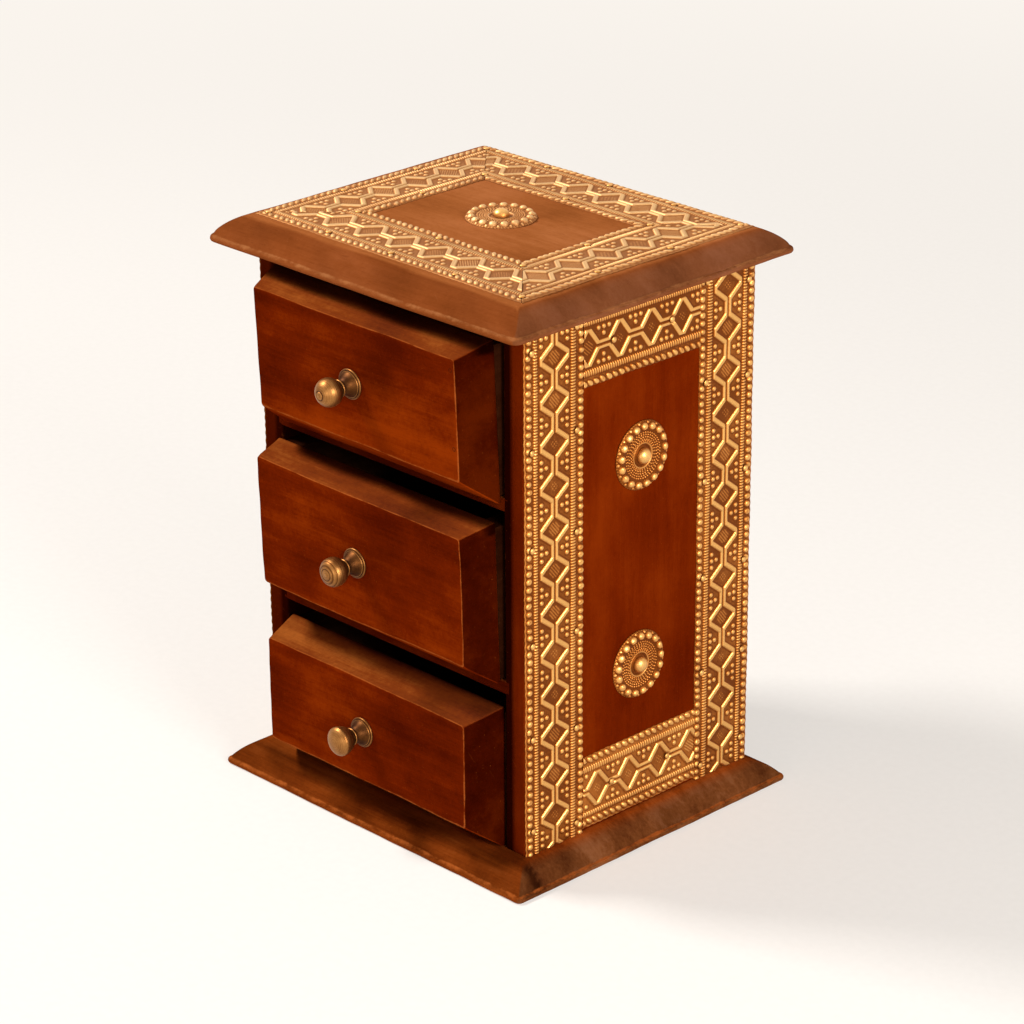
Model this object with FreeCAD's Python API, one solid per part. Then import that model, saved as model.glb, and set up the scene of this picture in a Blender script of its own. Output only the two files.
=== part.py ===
"""Small three-drawer wooden chest with embossed brass strips, built board by board.

Frame: millimetres, +X to the right along the front, +Y to the rear, +Z up.
The origin is on the base board's underside, below the centre of the carcass.
"""

import FreeCAD
import Part

import math
import os

V = FreeCAD.Vector

# ---------------------------------------------------------------- driving dimensions

# Carcass
CARCASS_WIDTH = 126.0
CARCASS_DEPTH = 107.0
CARCASS_HEIGHT = 185.0
SIDE_THICKNESS = 9.0
BACK_THICKNESS = 5.0
SHELF_THICKNESS = 4.8
HOUSING_DEPTH = 2.0
HOUSING_STOP = 6.0

# Moulded base and top boards, set a little to the left of and before the carcass
BOARD_THICKNESS = 9.0
BOARD_OVERHANG = 11.0
BOARD_CORNER_RADIUS = 3.5
NOSE_THICKNESS = 2.2
BEVEL_BULGE = 0.9
SIDE_LEDGE = 1.5
FRONT_LEDGE = 1.0
BOARD_LEFT_SHIFT = 1.0
BOARD_FORWARD_SHIFT = 1.0

# Drawer boxes
DRAWER_SIDE_CLEARANCE = 1.3
DRAWER_FLOOR_CLEARANCE = 0.3
DRAWER_BACK_CLEARANCE = 1.2
BOX_RIM_DROP = 2.0
BOX_SIDE_THICKNESS = 8.0
BOX_BACK_THICKNESS = 6.0
BOX_BOTTOM_THICKNESS = 3.0
GROOVE_HEIGHT = 3.0
GROOVE_DEPTH = 2.5
GROOVE_FIT = 0.05

# Drawer fronts
FRONT_LAND = 1.0
FRONT_TOP_BEVEL = 3.2
LOWER_BAY_HEIGHT = 56.6
MIDDLE_BAY_HEIGHT = 59.6

# One row for each drawer, from the bottom up: the space above its front, how far the front hangs below
# the drawer's floor, its thickness, its foot and side bevels, how far its foot stands before the carcass,
# and the angle in degrees at which it leans out
DRAWERS = [
    ("lower", 5.3, 0.0, 14.2, 9.8, 4.6, -0.7, -0.3),
    ("middle", 3.1, 1.1, 12.7, 8.9, 3.6, 1.0, 1.9),
    ("upper", 5.0, 2.2, 13.2, 10.2, 5.0, 0.3, 2.6),
]

# Knobs and their screws
KNOB_OFFSET_X = -1.5
KNOB_DROP = 0.8
KNOB_FLANGE_DIAMETER = 10.6
KNOB_FLANGE_THICKNESS = 0.9
KNOB_CONE_DIAMETER = 9.4
KNOB_CONE_HEIGHT = 3.8
KNOB_NECK_DIAMETER = 4.8
KNOB_NECK_HEIGHT = 4.9
KNOB_COLLAR_DIAMETER = 6.2
KNOB_COLLAR_THICKNESS = 0.8
KNOB_BORE_DEPTH = 6.5
# Each knob's head: diameter, height of its widest ring, height of its tip, and how blunt its front is
KNOB_HEADS = {
    "lower": (10.2, 10.7, 13.2, 2.0),
    "middle": (10.0, 9.4, 13.3, 2.8),
    "upper": (9.8, 9.5, 13.9, 2.1),
}
SCREW_DIAMETER = 2.5
SCREW_BORE_CLEARANCE = 0.1
SCREW_HEAD_DIAMETER = 5.6
SCREW_HEAD_HEIGHT = 2.0
SCREW_HEAD_RIM = 0.8
SCREW_CROWN_DIAMETER = 4.2
SCREW_SLOT_WIDTH = 0.9
SCREW_SLOT_DEPTH = 0.9

# Nails and brads
BRAD_DIAMETER = 1.4
BRAD_LENGTH = 24.0
BRAD_END_INSET = 1.4
BRAD_FOOT_SPACE = 13.0
BRAD_RIM_SPACE = 6.0
BRAD_SINK = 0.3
BRAD_REAR_LENGTH = 16.0
NAIL_DIAMETER = 1.8
NAIL_LENGTH = 26.0
NAIL_HEAD_DIAMETER = 3.6
NAIL_HEAD_HEIGHT = 1.0
NAIL_SINK = 0.3
NAIL_END_INSET = 16.0
NAIL_ROW_COUNT = 3
BACK_NAIL_COUNT = 4
BACK_NAIL_SPACE = 6.0

# Brass strips
STRIP_THICKNESS = 0.5
STRIP_WIDTH = 26.5
STRIP_GAP = 0.1
BOTTOM_STRIP_LIFT = 0.8
TOP_STRIP_WIDTH = 27.5
TOP_STRIP_INSET = 1.0
TOP_STRIP_RIGHT_SHIFT = 0.5
TOP_STRIP_REAR_SHIFT = 0.5

# Brass pins along the strips
PIN_HEAD_DIAMETER = 2.3
PIN_HEAD_HEIGHT = 0.6
PIN_RIM_HEIGHT = 0.3
PIN_CROWN_DIAMETER = 1.4
PIN_SHANK_DIAMETER = 0.8
PIN_LENGTH = 3.5
PIN_EDGE_INSET = 3.2
PIN_PITCH = 33.0
OUTER_PIN_END = 8.5
INNER_PIN_END = 4.5

# Brass medallions and their dome-headed tacks
MEDALLION_DIAMETER = 24.0
MEDALLION_SHEET = 0.5
MEDALLION_RIM_WIDTH = 4.4
MEDALLION_CREST_WIDTH = 1.5
MEDALLION_RIM_HEIGHT = 2.2
MEDALLION_DISH_HEIGHT = 1.0
MEDALLION_SPACING = 75.0
MEDALLION_DROP = 1.8
TOP_MEDALLION_LEFT_SHIFT = 1.5
TOP_MEDALLION_REAR_SHIFT = 1.5
TACK_HEAD_DIAMETER = 5.7
TACK_HEAD_HEIGHT = 2.4
TACK_SHANK_DIAMETER = 1.4
TACK_LENGTH = 7.5

# ---------------------------------------------------------------- places worked out from them

HALF_WIDTH = CARCASS_WIDTH / 2
HALF_DEPTH = CARCASS_DEPTH / 2
FLOOR_Z = BOARD_THICKNESS
CEILING_Z = FLOOR_Z + CARCASS_HEIGHT
TOP_Z = CEILING_Z + BOARD_THICKNESS
INNER_HALF_WIDTH = HALF_WIDTH - SIDE_THICKNESS
PANEL_REAR_Y = HALF_DEPTH - BACK_THICKNESS
UPPER_BAY_HEIGHT = CARCASS_HEIGHT - LOWER_BAY_HEIGHT - MIDDLE_BAY_HEIGHT - 2 * SHELF_THICKNESS
BAY_HEIGHTS = [LOWER_BAY_HEIGHT, MIDDLE_BAY_HEIGHT, UPPER_BAY_HEIGHT]
LOWER_SHELF_Z = FLOOR_Z + LOWER_BAY_HEIGHT
UPPER_SHELF_Z = LOWER_SHELF_Z + SHELF_THICKNESS + MIDDLE_BAY_HEIGHT
DRAWER_HALF_WIDTH = INNER_HALF_WIDTH - DRAWER_SIDE_CLEARANCE
BOARD_HALF_WIDTH = HALF_WIDTH + BOARD_OVERHANG
BOARD_HALF_DEPTH = HALF_DEPTH + BOARD_OVERHANG
FLAT_HALF_WIDTH = HALF_WIDTH + SIDE_LEDGE
FLAT_HALF_DEPTH = HALF_DEPTH + FRONT_LEDGE
BOARD_X = -BOARD_LEFT_SHIFT
BOARD_Y = -BOARD_FORWARD_SHIFT
TOP_STRIP_X = BOARD_X + TOP_STRIP_RIGHT_SHIFT
TOP_STRIP_Y = BOARD_Y + TOP_STRIP_REAR_SHIFT

# ---------------------------------------------------------------- shape helpers


def block(x0, x1, y0, y1, z0, z1):
    """A box between two opposite corners."""
    return Part.makeBox(x1 - x0, y1 - y0, z1 - z0, V(x0, y0, z0))


def rod(diameter, start, direction, length):
    """A plain cylinder from a start point along a direction."""
    return Part.makeCylinder(diameter / 2, length, start, direction)


def prism(points, travel):
    """A closed polygon of points, swept straight along the travel vector."""
    face = Part.Face(Part.makePolygon(points + [points[0]]))
    return face.extrude(travel)


def turned(points, base, direction):
    """A piece turned about its axis, from (radius, height) points, stood at base along direction."""
    outline = [V(radius, 0, height) for radius, height in points]
    solid = Part.Face(Part.makePolygon(outline + [outline[0]])).revolve(V(0, 0, 0), V(0, 0, 1), 360)
    solid.Placement = FreeCAD.Placement(base, FreeCAD.Rotation(V(0, 0, 1), direction))
    return solid


def spaced(first, last, count):
    """Evenly spaced positions from first to last."""
    return [first + (last - first) * i / (count - 1) for i in range(count)]


def write(name, shape):
    """Save one sub-part, and say how many solids it has and how large it is."""
    if not shape.isValid():
        raise ValueError(name + " is not a valid shape")
    shape.exportStep("parts/" + name + ".step")
    print("%-24s solids %3d  volume %10.1f mm3" % (name, len(shape.Solids), shape.Volume))


# ---------------------------------------------------------------- nails, brads, pins and tacks


def nail(point, direction):
    """A flat-headed nail whose head ends NAIL_SINK below the surface point."""
    start = point + direction * NAIL_SINK
    head = rod(NAIL_HEAD_DIAMETER, start, direction, NAIL_HEAD_HEIGHT)
    return head.fuse(rod(NAIL_DIAMETER, start, direction, NAIL_LENGTH)).removeSplitter()


def nail_hole(point, direction):
    """The space that a nail takes, with its countersink open to the surface."""
    sink = rod(NAIL_HEAD_DIAMETER, point, direction, NAIL_SINK + NAIL_HEAD_HEIGHT)
    return sink.fuse(rod(NAIL_DIAMETER, point, direction, NAIL_SINK + NAIL_LENGTH))


def pin(point, direction):
    """A small brass pin: a low domed head on the surface point and a shank going in."""
    radius = PIN_HEAD_DIAMETER / 2
    outline = [
        (0, -PIN_LENGTH),
        (PIN_SHANK_DIAMETER / 2, -PIN_LENGTH),
        (PIN_SHANK_DIAMETER / 2, 0),
        (radius, 0),
        (radius, PIN_RIM_HEIGHT),
        (PIN_CROWN_DIAMETER / 2, PIN_HEAD_HEIGHT),
        (0, PIN_HEAD_HEIGHT),
    ]
    return turned(outline, point, direction)


def pin_hole(point, direction):
    """The space of a pin's shank below its surface point."""
    return rod(PIN_SHANK_DIAMETER, point, direction * -1, PIN_LENGTH)


def tack(point, direction):
    """A dome-headed tack: the head seats at the surface point, the shank goes in."""
    radius = TACK_HEAD_DIAMETER / 2
    dome = [(radius * math.cos(a), TACK_HEAD_HEIGHT * math.sin(a)) for a in spaced(0, math.pi / 2, 7)]
    outline = [(0, -TACK_LENGTH), (TACK_SHANK_DIAMETER / 2, -TACK_LENGTH), (TACK_SHANK_DIAMETER / 2, 0)]
    return turned(outline + dome, point, direction)


def tack_hole(point, direction):
    """The space of a tack's shank below its surface point."""
    return rod(TACK_SHANK_DIAMETER, point, direction * -1, TACK_LENGTH)


# ---------------------------------------------------------------- moulded base and top boards


def bevel_section(half_size, half_flat):
    """The board's cross-section as a wire in the XZ plane: rounded nose, bulging bevel, flat top."""
    nose = NOSE_THICKNESS / 2
    tip = half_size - nose
    rise = BOARD_THICKNESS - NOSE_THICKNESS
    run = tip - half_flat
    length = math.hypot(run, rise)
    middle = V(half_flat + run / 2 + BEVEL_BULGE * rise / length, 0,
               NOSE_THICKNESS + rise / 2 + BEVEL_BULGE * run / length)

    def right_side():
        foot = V(tip, 0, 0)
        brow = V(tip, 0, NOSE_THICKNESS)
        shoulder = V(half_flat, 0, BOARD_THICKNESS)
        return [
            Part.Arc(foot, V(half_size, 0, nose), brow).toShape(),
            Part.Arc(brow, middle, shoulder).toShape(),
        ]

    right = right_side()
    left = [edge.mirror(V(0, 0, 0), V(1, 0, 0)) for edge in right_side()]
    flat = Part.makeLine(V(half_flat, 0, BOARD_THICKNESS), V(-half_flat, 0, BOARD_THICKNESS))
    foot = Part.makeLine(V(-tip, 0, 0), V(tip, 0, 0))
    return Part.Wire(Part.__sortEdges__(right + left + [flat, foot]))


def moulded_board(z):
    """One moulded board with its underside at z: two crossed mouldings, mitred, with rounded corners."""
    along_y = Part.Face(bevel_section(BOARD_HALF_WIDTH, FLAT_HALF_WIDTH))
    along_y.translate(V(0, -BOARD_HALF_DEPTH, 0))
    board = along_y.extrude(V(0, 2 * BOARD_HALF_DEPTH, 0))
    along_x = Part.Face(bevel_section(BOARD_HALF_DEPTH, FLAT_HALF_DEPTH))
    along_x.rotate(V(0, 0, 0), V(0, 0, 1), 90)
    along_x.translate(V(-BOARD_HALF_WIDTH, 0, 0))
    board = board.common(along_x.extrude(V(2 * BOARD_HALF_WIDTH, 0, 0)))
    blank = block(-BOARD_HALF_WIDTH, BOARD_HALF_WIDTH, -BOARD_HALF_DEPTH, BOARD_HALF_DEPTH,
                  0, BOARD_THICKNESS)
    corners = [edge for edge in blank.Edges if abs(edge.tangentAt(edge.FirstParameter).z) > 0.9]
    board = board.common(blank.makeFillet(BOARD_CORNER_RADIUS, corners))
    board.translate(V(BOARD_X, BOARD_Y, z))
    return board


# ---------------------------------------------------------------- places of the fasteners


def board_nail_places():
    """X and Y of the nails through the base or top board into the ends of the side panels."""
    x = HALF_WIDTH - SIDE_THICKNESS / 2
    rows = spaced(-HALF_DEPTH + NAIL_END_INSET, PANEL_REAR_Y - NAIL_END_INSET, NAIL_ROW_COUNT)
    return [(side * x, y) for side in (-1, 1) for y in rows]


def back_nail_places():
    """X and Z of the nails through the back panel into the side panels, clear of the boards' nails."""
    x = HALF_WIDTH - SIDE_THICKNESS / 2
    end = NAIL_SINK + NAIL_LENGTH + BACK_NAIL_SPACE
    rows = spaced(end, TOP_Z - end, BACK_NAIL_COUNT)
    return [(side * x, z) for side in (-1, 1) for z in rows]


def row_count(length):
    """How many pins a row of this length takes at about the pin pitch."""
    return max(2, int(round(length / PIN_PITCH)) + 1)


def side_pin_places():
    """Y and Z of the pins on one side of the chest."""
    places = []
    for end in (-1, 1):
        outer = end * (HALF_DEPTH - PIN_EDGE_INSET)
        inner = end * (HALF_DEPTH - STRIP_WIDTH + PIN_EDGE_INSET)
        for y, inset in ((outer, OUTER_PIN_END), (inner, INNER_PIN_END)):
            count = row_count(CARCASS_HEIGHT - 2 * inset)
            places += [(y, z) for z in spaced(FLOOR_Z + inset, CEILING_Z - inset, count)]
    middle_run = HALF_DEPTH - STRIP_WIDTH
    for z in (CEILING_Z - STRIP_WIDTH / 2, FLOOR_Z + BOTTOM_STRIP_LIFT + STRIP_WIDTH / 2):
        places += [(y, z) for y in (-middle_run / 2, middle_run / 2)]
    return places


def top_pin_places():
    """X and Y of the pins on the top board."""
    half_x = FLAT_HALF_WIDTH - TOP_STRIP_INSET
    half_y = FLAT_HALF_DEPTH - TOP_STRIP_INSET
    places = []
    for inset in (PIN_EDGE_INSET, TOP_STRIP_WIDTH - PIN_EDGE_INSET):
        x = half_x - inset
        y = half_y - inset
        along_x = spaced(-x, x, row_count(2 * x))
        along_y = spaced(-y, y, row_count(2 * y))[1:-1]
        places += [(px, side * y) for side in (-1, 1) for px in along_x]
        places += [(side * x, py) for side in (-1, 1) for py in along_y]
    return [(TOP_STRIP_X + px, TOP_STRIP_Y + py) for px, py in places]


def medallion_heights():
    """The centres of the lower and upper medallion on a side."""
    middle = (FLOOR_Z + CEILING_Z) / 2 - MEDALLION_DROP
    return {"lower": middle - MEDALLION_SPACING / 2, "upper": middle + MEDALLION_SPACING / 2}


# ---------------------------------------------------------------- carcass


def shelf(z):
    """A shelf with a tongue at each end, stopped short of the front edge."""
    plate = block(-INNER_HALF_WIDTH, INNER_HALF_WIDTH, -HALF_DEPTH, PANEL_REAR_Y, z, z + SHELF_THICKNESS)
    reach = INNER_HALF_WIDTH + HOUSING_DEPTH
    tongue = block(-reach, reach, -HALF_DEPTH + HOUSING_STOP, PANEL_REAR_Y, z, z + SHELF_THICKNESS)
    return plate.fuse(tongue).removeSplitter()


def side_panel(side, shelves, fasteners):
    """A side panel with housings for the shelves and holes for everything driven into it."""
    x0, x1 = sorted((side * INNER_HALF_WIDTH, side * HALF_WIDTH))
    panel = block(x0, x1, -HALF_DEPTH, PANEL_REAR_Y, FLOOR_Z, CEILING_Z)
    return panel.cut(shelves + fasteners)


def side_strips(side):
    """The four brass strips of one side: two full-height ones and two between them."""
    x0, x1 = sorted((side * HALF_WIDTH, side * (HALF_WIDTH + STRIP_THICKNESS)))
    inner = HALF_DEPTH - STRIP_WIDTH
    low = FLOOR_Z + BOTTOM_STRIP_LIFT
    run = inner - STRIP_GAP
    return {
        "front": block(x0, x1, -HALF_DEPTH, -inner, FLOOR_Z, CEILING_Z),
        "rear": block(x0, x1, inner, HALF_DEPTH, FLOOR_Z, CEILING_Z),
        "top": block(x0, x1, -run, run, CEILING_Z - STRIP_WIDTH, CEILING_Z),
        "bottom": block(x0, x1, -run, run, low, low + STRIP_WIDTH),
    }


def top_strips():
    """The four mitred brass strips that frame the top board."""
    x = FLAT_HALF_WIDTH - TOP_STRIP_INSET
    y = FLAT_HALF_DEPTH - TOP_STRIP_INSET
    w = TOP_STRIP_WIDTH
    gap = STRIP_GAP
    lift = V(0, 0, STRIP_THICKNESS)
    front = [(-x + gap, -y), (x - gap, -y), (x - w - gap, -y + w), (-x + w + gap, -y + w)]
    right = [(x, -y + gap), (x, y - gap), (x - w, y - w - gap), (x - w, -y + w + gap)]
    outlines = {
        "front": front,
        "back": [(px, -py) for px, py in front],
        "right": right,
        "left": [(-px, py) for px, py in right],
    }
    strips = {}
    for name, outline in outlines.items():
        corners = [V(TOP_STRIP_X + px, TOP_STRIP_Y + py, TOP_Z) for px, py in outline]
        strips[name] = prism(corners, lift)
    return strips


def medallion(point, direction):
    """A pressed brass boss: a raised bead ring round a low dish, with a hole for its tack."""
    radius = MEDALLION_DIAMETER / 2
    inner = radius - MEDALLION_RIM_WIDTH
    crest = radius - MEDALLION_RIM_WIDTH / 2
    hole = TACK_SHANK_DIAMETER / 2
    outline = [
        (hole, 0),
        (radius, 0),
        (radius, MEDALLION_SHEET),
        (crest + MEDALLION_CREST_WIDTH / 2, MEDALLION_RIM_HEIGHT),
        (crest - MEDALLION_CREST_WIDTH / 2, MEDALLION_RIM_HEIGHT),
        (inner, MEDALLION_DISH_HEIGHT),
        (hole, MEDALLION_DISH_HEIGHT),
    ]
    return turned(outline, point, direction)


def build_side(side, name, shelves, nail_holes):
    """One side of the chest: panel, strips, pins, medallions and tacks. Gives back the holes of its pins."""
    outward = V(side, 0, 0)
    surface = side * HALF_WIDTH
    pin_points = [V(surface + side * STRIP_THICKNESS, y, z) for y, z in side_pin_places()]
    pin_holes = [pin_hole(point, outward) for point in pin_points]
    centres = {key: V(surface, 0, z) for key, z in medallion_heights().items()}
    seats = [point + outward * MEDALLION_DISH_HEIGHT for point in centres.values()]
    tack_holes = [tack_hole(point, outward) for point in seats]
    for key, strip in side_strips(side).items():
        write("%s_strip_%s" % (name, key), strip.cut(pin_holes))
    for key, point in centres.items():
        write("%s_medallion_%s" % (name, key), medallion(point, outward))
    write(name + "_strip_pins", Part.makeCompound([pin(point, outward) for point in pin_points]))
    write(name + "_medallion_tacks", Part.makeCompound([tack(point, outward) for point in seats]))
    write("side_panel_" + name, side_panel(side, shelves, nail_holes + pin_holes + tack_holes))
    return pin_holes


def build_carcass():
    """The fixed chest: boards, panels, shelves, brass and nails."""
    up = V(0, 0, 1)
    forward = V(0, -1, 0)
    shelves = {"lower": shelf(LOWER_SHELF_Z), "upper": shelf(UPPER_SHELF_Z)}
    for name, shape in shelves.items():
        write("shelf_" + name, shape)

    base_points = [V(x, y, 0) for x, y in board_nail_places()]
    top_points = [V(x, y, TOP_Z) for x, y in board_nail_places()]
    back_points = [V(x, HALF_DEPTH, z) for x, z in back_nail_places()]
    base_holes = [nail_hole(point, up) for point in base_points]
    top_holes = [nail_hole(point, up * -1) for point in top_points]
    back_holes = [nail_hole(point, forward) for point in back_points]
    write("base_nails", Part.makeCompound([nail(point, up) for point in base_points]))
    write("top_nails", Part.makeCompound([nail(point, up * -1) for point in top_points]))
    write("back_nails", Part.makeCompound([nail(point, forward) for point in back_points]))

    nail_holes = base_holes + top_holes + back_holes
    side_holes = build_side(-1, "left", list(shelves.values()), nail_holes)
    side_holes += build_side(1, "right", list(shelves.values()), nail_holes)
    back = block(-HALF_WIDTH, HALF_WIDTH, PANEL_REAR_Y, HALF_DEPTH, FLOOR_Z, CEILING_Z)
    write("back_panel", back.cut(back_holes + side_holes))
    write("base_board", moulded_board(0).cut(base_holes))

    pin_points = [V(x, y, TOP_Z + STRIP_THICKNESS) for x, y in top_pin_places()]
    pin_holes = [pin_hole(point, up) for point in pin_points]
    centre = V(BOARD_X - TOP_MEDALLION_LEFT_SHIFT, BOARD_Y + TOP_MEDALLION_REAR_SHIFT, TOP_Z)
    seat = centre + up * MEDALLION_DISH_HEIGHT
    write("top_board", moulded_board(CEILING_Z).cut(top_holes + pin_holes + [tack_hole(seat, up)]))
    for name, strip in top_strips().items():
        write("top_strip_" + name, strip.cut(pin_holes))
    write("top_strip_pins", Part.makeCompound([pin(point, up) for point in pin_points]))
    write("top_medallion", medallion(centre, up))
    write("top_medallion_tack", tack(seat, up))


# ---------------------------------------------------------------- drawers


def knob_head(diameter, widest, tip, bluntness):
    """The outline of a knob's head: an ellipse up to the widest ring, a blunted one on to the tip."""
    radius = diameter / 2
    foot = KNOB_NECK_HEIGHT + KNOB_COLLAR_THICKNESS
    start = math.acos(KNOB_NECK_DIAMETER / diameter)
    behind = (widest - foot) / math.sin(start)
    power = 2 / bluntness
    back = [(radius * math.cos(a), widest - behind * math.sin(a)) for a in spaced(start, 0, 7)]
    front = [(radius * math.cos(a) ** power, widest + (tip - widest) * math.sin(a) ** power)
             for a in spaced(0, math.pi / 2, 8)]
    return back + front[1:-1] + [(0, tip)]


def knob(seat, direction, head):
    """A turned knob: flange, cone, neck, collar and head, tapped from behind for its screw."""
    bore = (SCREW_DIAMETER + SCREW_BORE_CLEARANCE) / 2
    neck = KNOB_NECK_DIAMETER / 2
    collar = KNOB_COLLAR_DIAMETER / 2
    outline = [
        (bore, 0),
        (KNOB_FLANGE_DIAMETER / 2, 0),
        (KNOB_FLANGE_DIAMETER / 2, KNOB_FLANGE_THICKNESS),
        (KNOB_CONE_DIAMETER / 2, KNOB_FLANGE_THICKNESS),
        (neck, KNOB_CONE_HEIGHT),
        (neck, KNOB_NECK_HEIGHT),
        (collar, KNOB_NECK_HEIGHT),
        (collar, KNOB_NECK_HEIGHT + KNOB_COLLAR_THICKNESS),
    ]
    return turned(outline + head + [(0, KNOB_BORE_DEPTH), (bore, KNOB_BORE_DEPTH)], seat, direction)


def knob_screw(seat, direction, depth):
    """A slotted pan-head screw whose head seats inside the drawer, depth behind the knob's seat."""
    head_seat = seat - direction * depth
    shank = depth + KNOB_BORE_DEPTH - SCREW_BORE_CLEARANCE
    outline = [
        (0, -SCREW_HEAD_HEIGHT),
        (SCREW_CROWN_DIAMETER / 2, -SCREW_HEAD_HEIGHT),
        (SCREW_HEAD_DIAMETER / 2, -SCREW_HEAD_RIM),
        (SCREW_HEAD_DIAMETER / 2, 0),
        (SCREW_DIAMETER / 2, 0),
        (SCREW_DIAMETER / 2, shank),
        (0, shank),
    ]
    half = SCREW_SLOT_WIDTH / 2
    slot = block(-SCREW_HEAD_DIAMETER, SCREW_HEAD_DIAMETER, -half, half,
                 -2 * SCREW_HEAD_HEIGHT, SCREW_SLOT_DEPTH - SCREW_HEAD_HEIGHT)
    screw = turned(outline, V(0, 0, 0), V(0, 0, 1)).cut(slot)
    screw.Placement = FreeCAD.Placement(head_seat, FreeCAD.Rotation(V(0, 0, 1), direction))
    return screw


class Drawer:
    """The places of one drawer, worked out from its row in the table and its bay."""

    def __init__(self, row, bay_floor, bay_height):
        self.name, gap, lip, self.thickness, self.foot_bevel, self.side_bevel, stand, self.tilt = row
        self.floor = bay_floor + DRAWER_FLOOR_CLEARANCE
        self.height = bay_height - gap + lip - DRAWER_FLOOR_CLEARANCE
        self.foot = V(0, -HALF_DEPTH - stand, self.floor - lip)
        self.rear_y = PANEL_REAR_Y - DRAWER_BACK_CLEARANCE - max(stand, 0)
        self.inner_half = DRAWER_HALF_WIDTH - BOX_SIDE_THICKNESS
        self.bottom_z = self.floor + GROOVE_HEIGHT
        self.inside_z = self.bottom_z + BOX_BOTTOM_THICKNESS
        self.rim_z = self.foot.z + self.height - BOX_RIM_DROP
        self.lean = FreeCAD.Rotation(V(1, 0, 0), self.tilt)
        self.forward = self.lean.multVec(V(0, -1, 0))
        self.face_middle = (self.foot_bevel + self.height - FRONT_TOP_BEVEL) / 2

    def on_front(self, x, ahead, up):
        """A point given from the front's foot: sideways, ahead of its back and up along it."""
        return self.foot + self.lean.multVec(V(x, -ahead, up))

    def back_y(self, z):
        """The Y of the front's leaning back at height z."""
        return self.foot.y - (z - self.foot.z) * math.tan(math.radians(self.tilt))


def front_block(drawer):
    """The front's bevelled block: a side view and a plan view, crossed, then leant out about its foot."""
    half = DRAWER_HALF_WIDTH
    thick = drawer.thickness
    side_view = [
        V(-half, 0, 0),
        V(-half, 0, drawer.height),
        V(-half, -FRONT_LAND, drawer.height),
        V(-half, -thick, drawer.height - FRONT_TOP_BEVEL),
        V(-half, -thick, drawer.foot_bevel),
        V(-half, -FRONT_LAND, 0),
    ]
    plan_view = [
        V(-half, 0, 0),
        V(half, 0, 0),
        V(half, -FRONT_LAND, 0),
        V(half - drawer.side_bevel, -thick, 0),
        V(-half + drawer.side_bevel, -thick, 0),
        V(-half, -FRONT_LAND, 0),
    ]
    front = prism(side_view, V(2 * half, 0, 0)).common(prism(plan_view, V(0, 0, drawer.height)))
    front.Placement = FreeCAD.Placement(drawer.foot, drawer.lean)
    return front


def drawer_side(drawer, side):
    """One side board of the box, its front end cut to the front's lean."""
    x0, x1 = sorted((side * drawer.inner_half, side * DRAWER_HALF_WIDTH))
    outline = [
        V(x0, drawer.back_y(drawer.floor), drawer.floor),
        V(x0, drawer.rear_y, drawer.floor),
        V(x0, drawer.rear_y, drawer.rim_z),
        V(x0, drawer.back_y(drawer.rim_z), drawer.rim_z),
    ]
    return prism(outline, V(x1 - x0, 0, 0))


def drawer_bottom(drawer, play):
    """The bottom board, or with play the groove that takes it."""
    half = drawer.inner_half + GROOVE_DEPTH + play
    front_y = drawer.back_y(drawer.bottom_z) - GROOVE_DEPTH - play
    return block(-half, half, front_y, drawer.rear_y, drawer.bottom_z - play, drawer.inside_z + play)


def brad_starts(drawer):
    """Where the brads start and which way they go: through the face, and through the sides."""
    starts = []
    x = DRAWER_HALF_WIDTH - drawer.side_bevel - BRAD_END_INSET
    y = drawer.rear_y - BOX_BACK_THICKNESS / 2
    for side in (-1, 1):
        for z in (drawer.inside_z + BRAD_FOOT_SPACE, drawer.rim_z - BRAD_RIM_SPACE):
            face = drawer.on_front(side * x, drawer.thickness - BRAD_SINK, z - drawer.foot.z)
            starts.append((face, drawer.forward * -1, BRAD_LENGTH))
            edge = V(side * (DRAWER_HALF_WIDTH - BRAD_SINK), y, z)
            starts.append((edge, V(-side, 0, 0), BRAD_REAR_LENGTH))
    return starts


def build_drawer(drawer):
    """One drawer: front, box, knob, screw and brads."""
    seat = drawer.on_front(KNOB_OFFSET_X, drawer.thickness, drawer.face_middle - KNOB_DROP)
    groove = drawer_bottom(drawer, GROOVE_FIT)
    brads = [rod(BRAD_DIAMETER, point, way, length) for point, way, length in brad_starts(drawer)]
    sinks = [rod(BRAD_DIAMETER, point, way * -1, 2 * BRAD_SINK) for point, way, _ in brad_starts(drawer)]
    bore = SCREW_DIAMETER + SCREW_BORE_CLEARANCE
    screw_hole = rod(bore, seat, drawer.forward * -1, drawer.thickness)

    prefix = "drawer_" + drawer.name
    write(prefix + "_front", front_block(drawer).cut([groove, screw_hole] + brads + sinks))
    for side, name in ((-1, "left"), (1, "right")):
        write(prefix + "_side_" + name, drawer_side(drawer, side).cut([groove] + brads + sinks))
    back_y = drawer.rear_y - BOX_BACK_THICKNESS
    back = block(-drawer.inner_half, drawer.inner_half, back_y, drawer.rear_y,
                 drawer.inside_z + GROOVE_FIT, drawer.rim_z)
    write(prefix + "_back", back.cut(brads))
    write(prefix + "_bottom", drawer_bottom(drawer, 0))
    write(prefix + "_brads", Part.makeCompound(brads))
    write(prefix + "_knob", knob(seat, drawer.forward, knob_head(*KNOB_HEADS[drawer.name])))
    write(prefix + "_knob_screw", knob_screw(seat, drawer.forward, drawer.thickness))


# ---------------------------------------------------------------- whole chest

os.makedirs("parts", exist_ok=True)
build_carcass()
bay_floor = FLOOR_Z
for row, bay_height in zip(DRAWERS, BAY_HEIGHTS):
    build_drawer(Drawer(row, bay_floor, bay_height))
    bay_floor += bay_height + SHELF_THICKNESS
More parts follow.
